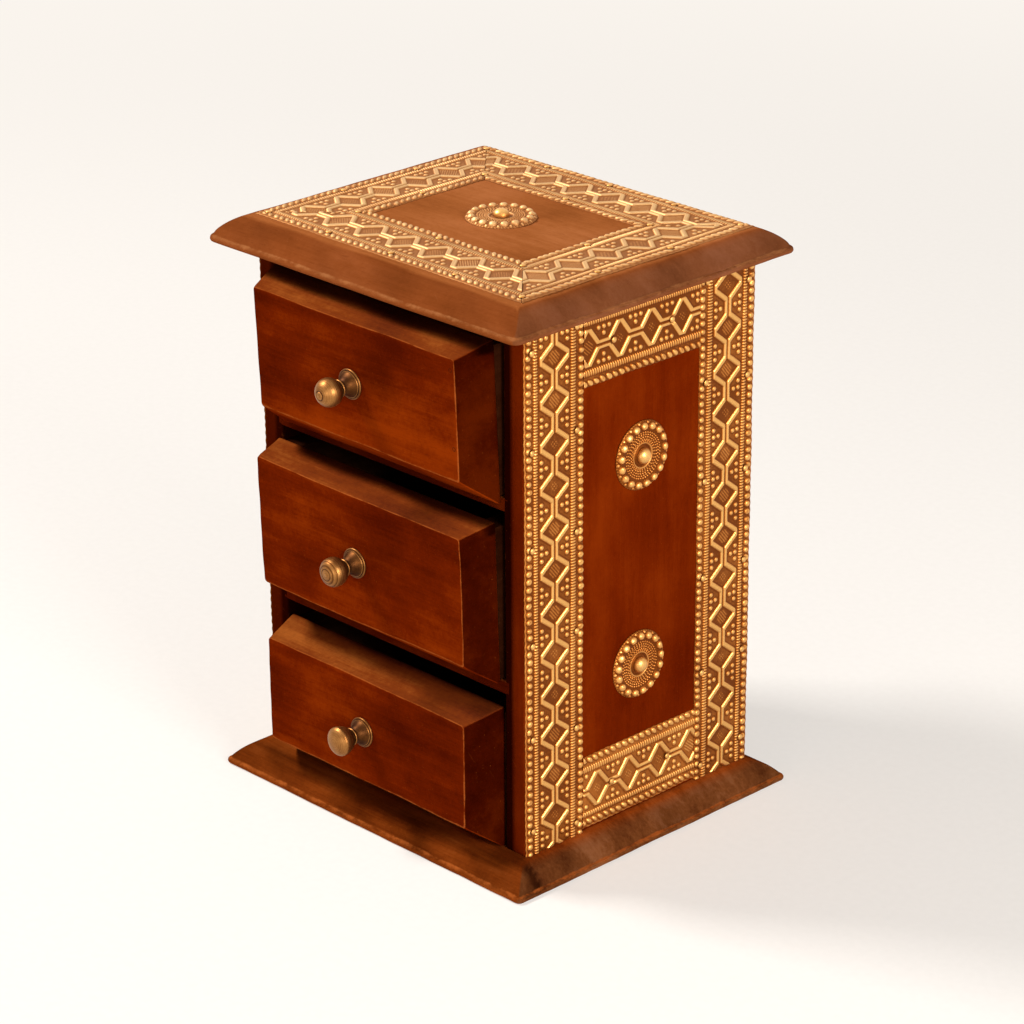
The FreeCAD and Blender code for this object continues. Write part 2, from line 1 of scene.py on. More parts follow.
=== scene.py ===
# %% [markdown]
# # A small chest of three drawers, dressed in wood stain and embossed brass
#
# The real thing is a little wooden chest, about as tall as a hand is long. Two moulded boards hold it top
# and bottom, three thick bevelled fronts hang before it, and strips of thin brass sheet, pressed over a
# pattern, are nailed round its sides and its top. The solids of the chest are already made, with their
# real sizes and joints. This notebook dresses them: every visible solid gets either a finish of its own
# or a finer surface that stands where the solid stands.

import math

import bpy
import numpy as np
from mathutils import Matrix, Vector


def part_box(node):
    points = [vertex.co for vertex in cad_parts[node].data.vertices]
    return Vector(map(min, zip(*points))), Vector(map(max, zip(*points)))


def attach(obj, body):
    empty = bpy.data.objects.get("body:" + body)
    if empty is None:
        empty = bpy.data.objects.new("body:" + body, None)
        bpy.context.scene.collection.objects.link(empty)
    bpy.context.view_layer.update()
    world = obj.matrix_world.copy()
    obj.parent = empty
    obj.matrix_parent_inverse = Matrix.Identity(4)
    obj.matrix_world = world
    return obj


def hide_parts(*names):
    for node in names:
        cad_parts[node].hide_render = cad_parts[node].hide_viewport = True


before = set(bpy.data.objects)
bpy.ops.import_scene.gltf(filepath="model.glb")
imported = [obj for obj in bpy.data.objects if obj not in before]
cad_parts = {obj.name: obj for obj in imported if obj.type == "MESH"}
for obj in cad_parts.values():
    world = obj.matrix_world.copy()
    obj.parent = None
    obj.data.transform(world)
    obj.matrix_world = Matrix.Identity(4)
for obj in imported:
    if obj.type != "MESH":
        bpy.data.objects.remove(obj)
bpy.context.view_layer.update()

# %% [markdown]
# Every size below is in millimetres, as on a workshop drawing, and one factor turns it into metres when a
# mesh is stored. The places come from the solids themselves, so that a piece can't drift from its node.

# %% Sizes read from the solids
MM = 0.001


def corners(node):
    """The lowest and the highest corner of a solid, in millimetres."""
    low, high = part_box(node)
    return np.array(low) / MM, np.array(high) / MM


BOARD = FLOOR_Z = corners("base_board")[1][2]
HALF_WIDTH, HALF_DEPTH = corners("side_panel_right")[1][0], corners("back_panel")[1][1]
CEILING_Z, TOP_Z = (corner[2] for corner in corners("top_board"))
print("half width and depth %.1f, %.1f, floor, ceiling and top %.1f, %.1f, %.1f"
      % (HALF_WIDTH, HALF_DEPTH, FLOOR_Z, CEILING_Z, TOP_Z))

# %% [markdown]
# ## Surfaces from arrays
#
# A surface here is a grid of points that numpy works out at once. Quads join each row of the grid to the
# next. A closed solid needs its ends shut too, and a fan of triangles round a middle point does that. The
# sign of the volume tells whether the faces look outwards, and all of them are turned if they don't.

# %% Grids and fans
def grid_faces(rows, cols, wrap=False):
    """Quads between neighbouring rows of a grid of points. With wrap, every row closes on itself."""
    index = np.arange(rows * cols).reshape(rows, cols)
    after = np.roll(index, -1, axis=1)
    if not wrap:
        index, after = index[:, :-1], after[:, :-1]
    return np.stack([index[:-1], after[:-1], after[1:], index[1:]], -1).reshape(-1, 4)


def fan(ring, middle):
    """Triangles from each edge of a closed ring of point numbers to one middle point."""
    return np.stack([ring, np.roll(ring, -1), np.full_like(ring, middle)], -1)


def tube_faces(rows, cols, first, last):
    """The faces of a stack of rings, shut by two fans round the points numbered first and last."""
    order = np.arange(rows * cols).reshape(rows, cols)
    return [grid_faces(rows, cols, wrap=True), fan(order[0][::-1], first), fan(order[-1], last)]


def volume(points, faces):
    """The signed volume: a sixth of the triple product of each triangle's corners, added up."""
    total = 0.0
    for block in faces:
        a = points[block[:, 0]]
        for i in range(1, block.shape[1] - 1):
            total += np.einsum("ij,ij->", a, np.cross(points[block[:, i]], points[block[:, i + 1]])) / 6
    return total


print("a fan over four points:", fan(np.arange(4), 4).tolist())


# %% Pieces
def make(name, shape, node, body, material, grain=None, sharp=38):
    """Stores a closed surface as a piece that rides on a body and stands for a solid, its node.

    The shape is its points, its blocks of faces and the numbers to keep on its points. With a grain, how
    far a point faces along the grain and how far it faces up are kept as well. Edges sharper than this
    many degrees stay hard."""
    points, faces, marks = shape
    if volume(points, faces) < 0:
        faces = [block[:, ::-1] for block in faces]
    mesh = bpy.data.meshes.new(name)
    mesh.vertices.add(len(points))
    mesh.vertices.foreach_set("co", (points * MM).ravel())
    indices = np.concatenate([block.ravel() for block in faces])
    mesh.loops.add(len(indices))
    mesh.loops.foreach_set("vertex_index", indices)
    sizes = np.repeat([block.shape[1] for block in faces], [len(block) for block in faces])
    mesh.polygons.add(len(sizes))
    mesh.polygons.foreach_set("loop_start", np.cumsum(sizes) - sizes)
    mesh.polygons.foreach_set("use_smooth", np.ones(len(sizes), bool))
    mesh.update(calc_edges=True)
    mesh.validate()
    if sharp:
        mesh.set_sharp_from_angle(angle=math.radians(sharp))
    if grain:
        normals = np.zeros(len(points) * 3)
        mesh.vertex_normals.foreach_get("vector", normals)
        normals = normals.reshape(-1, 3)
        marks = {**marks, "end": np.abs(normals[:, "xyz".index(grain)]), "up": normals[:, 2]}
    for key, values in marks.items():
        layer = mesh.attributes.new(key, "FLOAT", "POINT")
        layer.data.foreach_set("value", np.asarray(values, float).ravel())
    mesh.materials.append(material)
    piece = bpy.data.objects.new(name, mesh)
    bpy.context.scene.collection.objects.link(piece)
    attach(piece, body)
    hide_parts(node)
    print("%-28s %7d triangles" % (name, (sizes - 2).sum()))


# %% [markdown]
# ## Shader arithmetic in plain Python
#
# A material is a small calculation that runs at every point of a surface. Blender writes it as boxes and
# wires. It reads better as a formula, so a little class stands for one output and turns `a * b + 1` into
# Math nodes. Anything that isn't arithmetic comes from one method, which takes a node's type, its
# settings and what goes into its sockets.

# %% Values
class Value:
    """One output socket of a shader, with the arithmetic that Python's operators stand for."""

    def __init__(self, shader, socket):
        self.shader = shader
        self.socket = socket

    def math(self, operation, first, second):
        return self.shader.add("ShaderNodeMath", {"operation": operation}, {0: first, 1: second})

    def __add__(self, other):
        return self.math("ADD", self, other)

    def __sub__(self, other):
        return self.math("SUBTRACT", self, other)

    def __rsub__(self, other):
        return self.math("SUBTRACT", other, self)

    def __mul__(self, other):
        return self.math("MULTIPLY", self, other)

    __radd__, __rmul__ = __add__, __mul__

    def between(self, low, high):
        """Nought below low, one above high, and a smooth step from one to the other."""
        settings = {"interpolation_type": "SMOOTHSTEP"}
        return self.shader.add("ShaderNodeMapRange", settings, {0: self, 1: low, 2: high})


print("operators on a value:", [name for name in vars(Value) if name.startswith("__r")])


# %% Shaders
class Shader:
    """A material being written: its node tree, and the Principled node that it ends in."""

    def __init__(self, name):
        self.material = bpy.data.materials.new(name)
        self.material.use_nodes = True
        self.tree = self.material.node_tree
        self.surface = self.tree.nodes["Principled BSDF"]

    def add(self, kind, settings, sockets, output=0):
        """Adds a node of a type: settings first, then values or links into its sockets."""
        node = self.tree.nodes.new(kind)
        for key, value in settings.items():
            if key == "stops":
                self.set_stops(node.color_ramp.elements, value)
            else:
                setattr(node, key, value)
        for key, value in sockets.items():
            self.feed(node.inputs[key], value)
        return Value(self, node.outputs[output])

    def set_stops(self, elements, stops):
        """Gives a colour ramp its stops, as (place, colour) pairs."""
        while len(elements) < len(stops):
            elements.new(0.5)
        for element, (place, colour) in zip(elements, stops):
            element.position = place
            element.color = (*colour, 1)

    def feed(self, socket, value):
        """Puts a link or a plain value into a socket."""
        if isinstance(value, Value):
            self.tree.links.new(value.socket, socket)
        elif hasattr(value, "__len__") and socket.type == "RGBA":
            socket.default_value = (*value[:3], 1)
        else:
            socket.default_value = value

    def coordinates(self, sizes, shift=0.0, turn=(0, 0, 0)):
        """Object coordinates in which one unit is as long as sizes says along each axis, in mm."""
        place = self.add("ShaderNodeTexCoord", {}, {}, "Object")
        turned = self.add("ShaderNodeMapping", {}, {"Vector": place, "Rotation": turn})
        sockets = {"Vector": turned, "Location": [shift] * 3, "Scale": [1 / (size * MM) for size in sizes]}
        return self.add("ShaderNodeMapping", {}, sockets)

    def noise(self, vector, detail=2.0, roughness=0.5, distortion=0.0):
        """Soft noise about 0.5, one feature to a unit of the coordinates."""
        sockets = {"Vector": vector, "Scale": 1.0, "Detail": detail, "Roughness": roughness,
                   "Distortion": distortion}
        return self.add("ShaderNodeTexNoise", {}, sockets)

    def grains(self, size, shift, detail=2.0, roughness=0.5):
        """Noise whose features are as long as wide."""
        return self.noise(self.coordinates([size] * 3, shift), detail, roughness)

    def mark(self, name):
        """A number stored on the mesh's points under this name, or nought where there is none."""
        return self.add("ShaderNodeAttribute", {"attribute_name": name}, {}, "Fac")

    def ramp(self, factor, stops):
        """A colour read from a ramp."""
        return self.add("ShaderNodeValToRGB", {"stops": stops}, {0: factor})

    def mix(self, factor, first, second, blend="MIX"):
        """Two colours mixed."""
        settings = {"data_type": "RGBA", "blend_type": blend}
        return self.add("ShaderNodeMix", settings, {0: factor, 6: first, 7: second}, 2)

    def bump(self, height, millimetres):
        """A normal tilted by a height that stands this many millimetres at one."""
        sockets = {"Height": height, "Distance": millimetres * MM, "Strength": 1.0}
        return self.add("ShaderNodeBump", {}, sockets)

    def finish(self, **sockets):
        """Feeds the Principled node, by socket names written with underscores."""
        for key, value in sockets.items():
            self.feed(self.surface.inputs[key.replace("_", " ")], value)
        return self.material


print("nodes written by:", [name for name in vars(Shader) if not name.startswith("__")])

# %% [markdown]
# ## The stained wood
#
# The chest is a plain close-grained wood under a dark reddish-brown stain, its varnish gone flat with age.
# It could be one brown colour, but real stain is uneven: it sinks into the soft bands of the grain, it
# gathers in the pores, it darkens the end grain, and hands rub it off the ridges. Each of these is one
# term: long stretched noise for the bands, short stretched noise for the pores, a number stored on the
# mesh for the ridges, and others for the end grain and the grime. Painted light is mixed in as well:
# painted shade through the same stored number as the grime, painted light and shade across the drawer
# fronts, and a painted sheen or painted shade by how far a face looks up.

# %% Stained wood
# How long the features of the wood are along the grain and how wide across it.
BANDS, STREAKS, PORES, BLOTCHES = (85, 5.5), (26, 0.8), (4.0, 0.24), (40, 24)
HAIR_SCRATCH, SCRATCH_TURN = (11, 0.3, 11), (0.4, 0.9, 1.1)
TONE_STOPS = (0.32, 0.5, 0.68)
# The second tint darkens grime and painted shade alike.
PORE_TINT, GRIME_AND_SHADE_TINT = (0.55, 0.45, 0.4), (0.12, 0.08, 0.08)
DARK_ENDS = ((0.3, 0.255, 0.3), 0.62, 0.9)


def stained_wood(name, grain, tones, worn, seed, gloss=0.42, wear=0.6, figure=1.0, upward=None,
                 ends=DARK_ENDS):
    """Wood stained in three tones, with worn ridges, dark pores and tinted end grain.

    The tone is a middle value plus the noises, each about nought and each with its weight, and a stored
    number that paints light and shade across the drawer fronts. figure sets how strongly the grain shows.
    upward and ends are a tint and two slopes each: faces that look up, or along the grain, between those
    slopes are multiplied by the tint. The upward tint is painted light: a painted sheen on faces that look
    up, or painted shade on the bevels of the top. A stored number darkens the stain for grime and for
    painted shade."""
    s = Shader(name)

    def stretched(size, shift, detail, roughness=0.5, distortion=0.0):
        along, across = size
        sizes = [along if axis == grain else across for axis in "xyz"]
        return s.noise(s.coordinates(sizes, seed + shift), detail, roughness, distortion)

    bands = stretched(BANDS, 0, 5.0, 0.6, 0.5)
    streaks = stretched(STREAKS, 3, 3.0, 0.6)
    pores = stretched(PORES, 7, 1.0)
    blotches = stretched(BLOTCHES, 11, 3.0)
    grit = s.grains(1.6, seed + 13, 4.0, 0.7)
    tone = 0.5 + (bands - 0.5) * (0.3 * figure) + (streaks - 0.5) * (0.12 * figure)
    # A stored number shifts the tone; on the drawer fronts it is painted light across and down each face.
    tone = tone + (blotches - 0.5) * 0.75 + (grit - 0.5) * 0.2 + s.mark("fade")
    stain = s.ramp(tone, list(zip(TONE_STOPS, tones)))
    open_pores = pores.between(0.60, 0.72)
    stain = s.mix(open_pores * 0.3, stain, PORE_TINT, "MULTIPLY")
    # The tint on faces that look up is painted light: a painted sheen, or painted shade on the top's bevels.
    for mark, tinted in (("up", upward), ("end", ends)):
        if tinted:
            tint, low, high = tinted
            stain = s.mix(s.mark(mark).between(low, high), stain, tint, "MULTIPLY")
    # Grime, and painted shade where parts lie in shadow, darkens the stain.
    stain = s.mix(s.mark("grime"), stain, GRIME_AND_SHADE_TINT, "MULTIPLY")
    rub = s.mark("edge") * (0.1 + 1.5 * s.grains(6, seed + 17, 4.0, 0.75))
    bare = rub.between(0.5, 0.95) * wear
    stain = s.mix(bare, stain, worn)
    hair = s.noise(s.coordinates(HAIR_SCRATCH, seed + 19, SCRATCH_TURN), 2.0, 0.5, 0.8)
    specks = s.grains(0.55, seed + 23)
    scratches = hair.between(0.72, 0.8) * 0.14 + specks.between(0.70, 0.76) * 0.25
    stain = s.mix(scratches, stain, worn)
    height = bands * 0.5 + streaks * 0.3 + grit * 0.3 - open_pores * 0.8 - scratches
    return s.finish(Base_Color=stain, Roughness=gloss + blotches * 0.16 + open_pores * 0.2 + bare * 0.12,
                    Normal=s.bump(height, 0.022), Specular_IOR_Level=0.0)


FRONT_TONES = [(0.062, 0.0044, 0.0003), (0.118, 0.0098, 0.0004), (0.215, 0.025, 0.001)]
SIDE_TONES = [(0.088, 0.0065, 0.0003), (0.124, 0.0108, 0.0004), (0.172, 0.019, 0.0009)]
# The top's tones are paler than the other woods': partly a more polished top, partly painted sheen of light
# from above.
PANEL_TONES = [(0.233, 0.063, 0.0135), (0.318, 0.091, 0.022), (0.394, 0.123, 0.036)]
BASE_TONES = [(0.113, 0.018, 0.002), (0.212, 0.04, 0.0045), (0.312, 0.07, 0.011)]
BOX_TONES = [(0.075, 0.02, 0.006), (0.13, 0.039, 0.012), (0.19, 0.065, 0.022)]
WORN, WORN_TOP, WORN_BOX = (0.36, 0.085, 0.015), (0.38, 0.14, 0.045), (0.2, 0.07, 0.02)
# Painted sheen: faces that look up are paler and greyer, as if they reflected light from above. Painted
# shade: the bevels of the top darker than its flat. And a greyer tint on the right and left bevels of both
# moulded boards.
PAINTED_SHEEN, PAINTED_BEVEL_SHADE = ((1.45, 3.2, 12.0), 0.35, 0.8), ((0.63, 0.52, 0.45), 0.985, 0.92)
GREY_SIDE_BEVELS_TOP, GREY_SIDE_BEVELS_BASE = ((0.93, 1.18, 1.9), 0.3, 0.6), ((0.75, 1.2, 2.8), 0.3, 0.6)

wood_x = stained_wood("stained_wood_fronts", "x", FRONT_TONES, WORN, 1.3, upward=PAINTED_SHEEN)
wood_z = stained_wood("stained_wood_upright", "z", SIDE_TONES, WORN, 5.1)
# The top's bevels carry painted shade, darker than its flat.
wood_top = stained_wood("stained_wood_top", "x", PANEL_TONES, WORN_TOP, 8.7, 0.55, 0.6, 1.2, PAINTED_BEVEL_SHADE,
                        GREY_SIDE_BEVELS_TOP)
wood_base = stained_wood("stained_wood_base", "x", BASE_TONES, WORN, 12.9, 0.5, 0.8, 1.8, ends=GREY_SIDE_BEVELS_BASE)
wood_box = stained_wood("drawer_wood_plain", "y", BOX_TONES, WORN_BOX, 17.3, 0.6, 0.12, 1.5)
wood_box_x = stained_wood("drawer_wood_cross", "x", BOX_TONES, WORN_BOX, 21.7, 0.6, 0.12, 1.5)
print("woods:", [m.name for m in bpy.data.materials if "wood" in m.name])

# %% [markdown]
# ## Brass and steel
#
# The strips are thin brass sheet, pressed over a die, so that the pattern stands up and the hollows fill
# with polish, dust and brown patina over the years. Rubbing brightens only what stands up. So the mesh
# stores how high each point of the relief is, and the finish goes from dull brown in the hollows to
# bright yellow on the crests. The knobs are cast and turned, and only handling has kept them half bright.
# The nails are dull steel wire, and dark wax fills the dimples over the punched brads.

# %% Brass and steel finishes
def pressed_brass(name, hollow, middle, crest, seed, rough=0.56):
    """Sheet brass: dark in the hollows of the relief, bright and smoother on its crests."""
    s = Shader(name)
    cloud = s.grains(14, seed, 4.0, 0.6)
    speckle = s.grains(0.7, seed + 5, 3.0, 0.7)
    high = s.mark("relief") + (cloud - 0.5) * 0.5 + (speckle - 0.5) * 0.28
    colour = s.ramp(high, [(0.1, hollow), (0.42, middle), (0.8, crest)])
    roughness = rough - high.between(0.15, 0.75) * 0.18 + (speckle - 0.5) * 0.2
    normal = s.bump(speckle * 0.7 + cloud, 0.02)
    return s.finish(Base_Color=colour, Metallic=0.94, Roughness=roughness, Normal=normal)


def turned_brass(name, dark, middle, bright, seed):
    """Turned brass, browned in its grooves and half bright where it is handled."""
    s = Shader(name)
    cloud = s.grains(4, seed, 4.0, 0.62)
    speckle = s.grains(0.5, seed + 5, 3.0, 0.7)
    high = s.mark("relief") * 0.75 + (cloud - 0.5) * 0.5 + (speckle - 0.5) * 0.2
    colour = s.ramp(high, [(0.05, dark), (0.42, middle), (0.85, bright)])
    roughness = 0.5 - high * 0.14 + (speckle - 0.5) * 0.15
    normal = s.bump(speckle + cloud, 0.015)
    return s.finish(Base_Color=colour, Metallic=0.96, Roughness=roughness, Normal=normal)


def spotted(name, size, shift, detail, stops, rough, relief, **constants):
    """A finish of two colours in small soft spots, a little rougher where the spots are high."""
    s = Shader(name)
    spots = s.grains(size, shift, detail, 0.7)
    return s.finish(Base_Color=s.ramp(spots, stops), Roughness=rough + spots * 0.2,
                    Normal=s.bump(spots, relief), **constants)


SIDE_BRASS = (0.19, 0.045, 0.004), (0.53, 0.178, 0.03), (0.85, 0.445, 0.13)
# The top's brass is paler and duller than the sides': partly more worn, partly painted sheen of light from
# above.
TOP_BRASS = (0.275, 0.1, 0.027), (0.47, 0.215, 0.07), (0.68, 0.41, 0.178)
PIN_BRASS = (0.14, 0.04, 0.006), (0.48, 0.19, 0.04), (0.88, 0.5, 0.16)
KNOB_BRASS = (0.04, 0.012, 0.003), (0.17, 0.058, 0.012), (0.56, 0.26, 0.075)
brass = pressed_brass("embossed_brass", *SIDE_BRASS, 2.2)
brass_top = pressed_brass("embossed_brass_top", *TOP_BRASS, 3.2, 0.72)
pin_brass = pressed_brass("pin_brass", *PIN_BRASS, 6.2)
knob_brass = turned_brass("knob_brass", *KNOB_BRASS, 4.4)
STEEL_SPOTS = [(0.35, (0.05, 0.03, 0.02)), (0.6, (0.2, 0.17, 0.15))]
WAX_SPOTS = [(0.3, (0.012, 0.004, 0.002)), (0.7, (0.04, 0.012, 0.005))]
steel = spotted("steel_wire", 0.8, 3.0, 4.0, STEEL_SPOTS, 0.45, 0.02, Metallic=0.8)
wax = spotted("steel_under_wax", 0.6, 9.0, 3.0, WAX_SPOTS, 0.6, 0.03, Specular_IOR_Level=0.0)
print("metals:", [m.name for m in (brass, brass_top, pin_brass, knob_brass, steel, wax)])

# %% [markdown]
# ## Boards with eased edges
#
# Every board of the chest is a block whose edges have been eased by a plane, sandpaper and many hands. A
# cube with a bevel would do from far away. Here a board is a stack of rounded rectangles instead, each
# with its own size and its own place along the stack, and quads join one to the next. The same stack
# makes a shelf, a moulded board or a thick bevelled front, and it can carry a mark for worn ridges.

# %% Rounded rectangles
def smooth(x):
    """A soft step from nought at 0 to one at 1."""
    x = np.clip(x, 0, 1)
    return x * x * (3 - 2 * x)


def rounded_ring(x0, x1, y0, y1, radius, along, turn=5):
    """A rectangle's outline with round corners: each corner is a quarter circle about its own centre, and
    straight runs join the quarters."""
    angles = np.linspace(0, np.pi / 2, turn + 1)
    arcs = []
    for quarter, (x, y) in enumerate(((x1, y1), (x0, y1), (x0, y0), (x1, y0))):
        x, y = np.clip(x, x0 + radius, x1 - radius), np.clip(y, y0 + radius, y1 - radius)
        a = angles + quarter * np.pi / 2
        arcs.append(np.stack([x + radius * np.cos(a), y + radius * np.sin(a)], -1))
    parts = []
    steps = np.linspace(0, 1, along + 2)[1:-1, None]
    for arc, following in zip(arcs, arcs[1:] + arcs[:1]):
        parts += [arc, arc[-1] + (following[0] - arc[-1]) * steps]
    return np.concatenate(parts)


print("points round a rectangle:", len(rounded_ring(0, 10, 0, 10, 1, 24)))

# %% A stack of rectangles
WAVE_LENGTHS = (55.0, 31.0, 17.0, 9.0)


def unevenness(points, size, seed):
    """A gentle hand-made waviness in mm: a few slow sine waves through space, added up, for each axis."""
    rng = np.random.default_rng(seed)
    total = np.zeros_like(points)
    for length in WAVE_LENGTHS:
        waves = rng.normal(size=(3, 3)) * 2 * np.pi / length / 1.7
        total += np.sin(points @ waves + rng.uniform(0, 2 * np.pi, 3)) * length ** 0.5
    return total * size / 12


def stack(levels, place, seed, wobble, along=24, end_rings=(0.94, 0.75, 0.45, 0.15)):
    """A solid from rounded rectangles (x0, x1, y0, y1, height, radius, ridge), with shut ends.

    The first and last rectangle shrink to their middle to shut the ends. The ridge number of a level is
    kept on its points, and the waviness is strongest there."""
    rings = [rounded_ring(*level[:4], level[5], along) for level in levels]

    def shrunk(index, sizes):
        x0, x1, y0, y1 = levels[index][:4]
        middle = np.array([(x0 + x1) / 2, (y0 + y1) / 2])
        return [(rings[index] - middle) * size + middle for size in sizes]

    count = len(end_rings)
    grid = np.array(shrunk(0, end_rings[::-1]) + rings + shrunk(-1, end_rings))
    heights = [levels[0][4]] * count + [level[4] for level in levels] + [levels[-1][4]] * count
    ridges = [0.0] * count + [level[6] for level in levels] + [0.0] * count
    rows, cols = grid.shape[:2]
    flat = np.concatenate([grid.reshape(-1, 2), [grid[0].mean(0), grid[-1].mean(0)]])
    up = np.concatenate([np.repeat(heights, cols), [heights[0], heights[-1]]])
    edge = np.concatenate([np.repeat(ridges, cols), [0.0, 0.0]])
    points = place(flat[:, 0], flat[:, 1], up)
    points = points + unevenness(points, wobble, seed) * (0.25 + 0.75 * edge[:, None])
    return points, tube_faces(rows, cols, rows * cols, rows * cols + 1), edge


print("shortest and longest wave of a worn edge:", WAVE_LENGTHS[-1], WAVE_LENGTHS[0])

# %% Plain boards
RIDGE_WEAR, FACE_WEAR = 0.6, 0.15


def eased(x0, x1, y0, y1, w0, w1, radius):
    """The levels of a plain board: full size in its middle, drawn in along a quarter circle at both ends."""
    levels = []
    for angle in np.linspace(0, np.pi / 2, 5):
        inset = radius * (1 - np.sin(angle))
        rise = radius * (1 - np.cos(angle))
        levels.append((x0 + inset, x1 - inset, y0 + inset, y1 - inset, w0 + rise, radius, RIDGE_WEAR))
    heights = np.linspace(w0 + radius * 1.6, w1 - radius * 1.6, 5)
    middle = [(x0, x1, y0, y1, w, radius, FACE_WEAR) for w in heights]
    last = [(*level[:4], w0 + w1 - level[4], *level[5:]) for level in levels[::-1]]
    return levels + middle + last


def as_xyz(order):
    """A placing function that sends (u, v, w) to the axes named, such as 'yzx'."""
    def place(*uvw):
        return np.stack([uvw[order.index(axis)] for axis in "xyz"], -1)
    return place


def board(node, order, grain, body, material, seed, radius=0.6, wobble=0.08, reshape=None, grime=None):
    """A plain board in place of a node, stacked along the last axis of the order. The last function, if
    given, paints shade on its points, through the grime and shade mark.
    """
    low, high = corners(node)
    a, b, c = ("xyz".index(axis) for axis in order)
    levels = eased(low[a], high[a], low[b], high[b], low[c], high[c], radius)
    points, faces, edge = stack(levels, as_xyz(order), seed, wobble)
    if reshape:
        points = reshape(points)
    marks = {"edge": edge, "grime": grime(points) if grime else np.zeros(len(points))}
    make(node + "_board", (points, faces, marks), node, body, material, grain)


def painted_stile_shade(points):
    """Painted shade on the inner half of the uprights' front edges and inside, and, less, over the whole
    front edge of the left one.
    """
    x, y = points[:, 0], points[:, 1]
    left_edge = (x < 0) * smooth((0.9 - HALF_DEPTH - y) / 0.6)
    return np.maximum(smooth((58.8 - np.abs(x)) / 1.3), 0.6 * left_edge)


board("side_panel_right", "yzx", "z", "carcass", wood_z, 21, 0.5, grime=painted_stile_shade)
board("side_panel_left", "yzx", "z", "carcass", wood_z, 22, 0.5, grime=painted_stile_shade)
board("back_panel", "xzy", "z", "carcass", wood_z, 23, 0.5)
# The shelves' front edges get painted shade all over, for the shadow of the fronts above them.
for number, node in enumerate(("shelf_lower", "shelf_upper")):
    board(node, "xyz", "x", "carcass", wood_x, 24 + number, 0.5,
          grime=lambda points: np.full(len(points), 0.55))

# %% [markdown]
# ## The moulded top and base
#
# Both boards have a rounded nose and a gently bulging bevel that climbs to the flat. On the real chest
# they were shaped with a plane along each edge, so the corners are mitres that the nose rounds off. The
# profile is worked out once, as distance in from the edge against height, and it becomes the stack. The
# nose and the upper ridge take the wear.

# %% Moulded boards
NOSE, BULGE, BEVEL_STEPS = 2.2, 0.9, 15


def arc_through(start, stop, bulge, count):
    """Points on the flat arc between two points whose middle stands off the chord by the bulge."""
    start, stop = np.array(start), np.array(stop)
    chord = stop - start
    across = np.array([-chord[1], chord[0]]) / np.hypot(*chord)
    t = np.linspace(0, 1, count)[:, None]
    return start + chord * t + across * (4 * bulge * t * (1 - t))


def moulded(node, seed, material, forward, rightward, corner, smudges, shaded):
    """A moulded board: a half-round nose, then a bulging bevel to the flat, on all four sides.

    Its front and right edges stand further out than the node's by the two lengths given. Smudges of grime
    lie on the bevels, and on a board that is shaded, painted shade darkens the front, most in the band under
    the drawer fronts."""
    low, high = corners(node)
    low[1] -= forward
    high[0] += rightward
    z0, z1 = low[2], low[2] + BOARD
    run_x = (high[0] - low[0]) / 2 - (HALF_WIDTH + 1.5)
    run_y = (high[1] - low[1]) / 2 - (HALF_DEPTH + 1.0)
    half = NOSE / 2
    levels = []

    def level(inset_x, inset_y, rise, ridge):
        radius = max(0.9, corner - 0.55 * (inset_x + inset_y))
        sides = (low[0] + inset_x, high[0] - inset_x, low[1] + inset_y, high[1] - inset_y)
        levels.append((*sides, z0 + rise, radius, ridge))

    for angle in np.linspace(-np.pi / 2, np.pi / 2, 9):
        inset = half * (1 - np.cos(angle))
        level(inset, inset, half + half * np.sin(angle), 0.5 + 0.4 * np.sin(angle))
    slope_x, slope_y = (arc_through((half, NOSE), (run, BOARD), BULGE, BEVEL_STEPS) for run in (run_x, run_y))
    wear = np.interp(np.arange(BEVEL_STEPS), [0, 1.5, 5, 12, 14], [0.5, 0.25, 0.05, 0.1, 0.45])
    for k in range(1, BEVEL_STEPS - 1):
        level(slope_x[k, 0], slope_y[k, 0], slope_x[k, 1] - 0.05 * (k == BEVEL_STEPS - 2), wear[k])
    for inset, rise, ridge in ((0.25, BOARD - 0.04, 0.4), (0.9, BOARD, 0.2), (2.0, BOARD, 0.0)):
        level(run_x + inset, run_y + inset, rise, ridge)
    points, faces, edge = stack(levels, as_xyz("xyz"), seed, 0.3, 60, (0.9, 0.8, 0.7, 0.55, 0.4, 0.25, 0.1))
    x, y, z = points.T
    waves = np.sin(x / 5.3 + y / 8 + seed) + np.sin(y / 3.7 - x / 11) + np.sin(x / 2.3 + z) * 0.5
    off_flat = smooth((z1 - z) / 1.5) * smooth((z - z0 - 0.8) / 1.2)
    # Painted shade over the front of the board, darkest in the band under the drawer fronts; the smudges are
    # grime.
    shade = 0.3 * smooth((-HALF_DEPTH - y) / 2)
    shade = shade + 0.5 * smooth(-HALF_DEPTH - 1 - y) * smooth((HALF_DEPTH + 7 + y) / 4)
    grime = off_flat * (np.clip((0.12 + 0.1 * waves) * smudges, 0, 1) + shade * shaded)
    marks = {"edge": edge, "grime": np.clip(grime, 0, 1)}
    make(node + "_moulded", (points, faces, marks), node, "carcass", material, "x", 50)


moulded("base_board", 31, wood_base, 1.5, 0.8, 2.4, 1.0, 1)
moulded("top_board", 32, wood_top, 1.2, 0.0, 3.5, 0.65, 0)

# %% [markdown]
# ## The drawer fronts
#
# Each front is a thick block with a long bevel below, narrower ones at its ends and a short one on top, so
# a face stands forward like the top of a low pyramid. None of the three is quite the same, and each leans
# its own way, as if cut by eye. The bevels share one run from the land at the back to the face, so a
# level's four insets are the four bevels times one number. Where they meet the face, a curve rounds the
# ridge, and that ridge is where the stain has gone. Painted shadow darkens the rear of the top bevels,
# under what stands out above them, and the face beside each knob, and painted light varies each face.

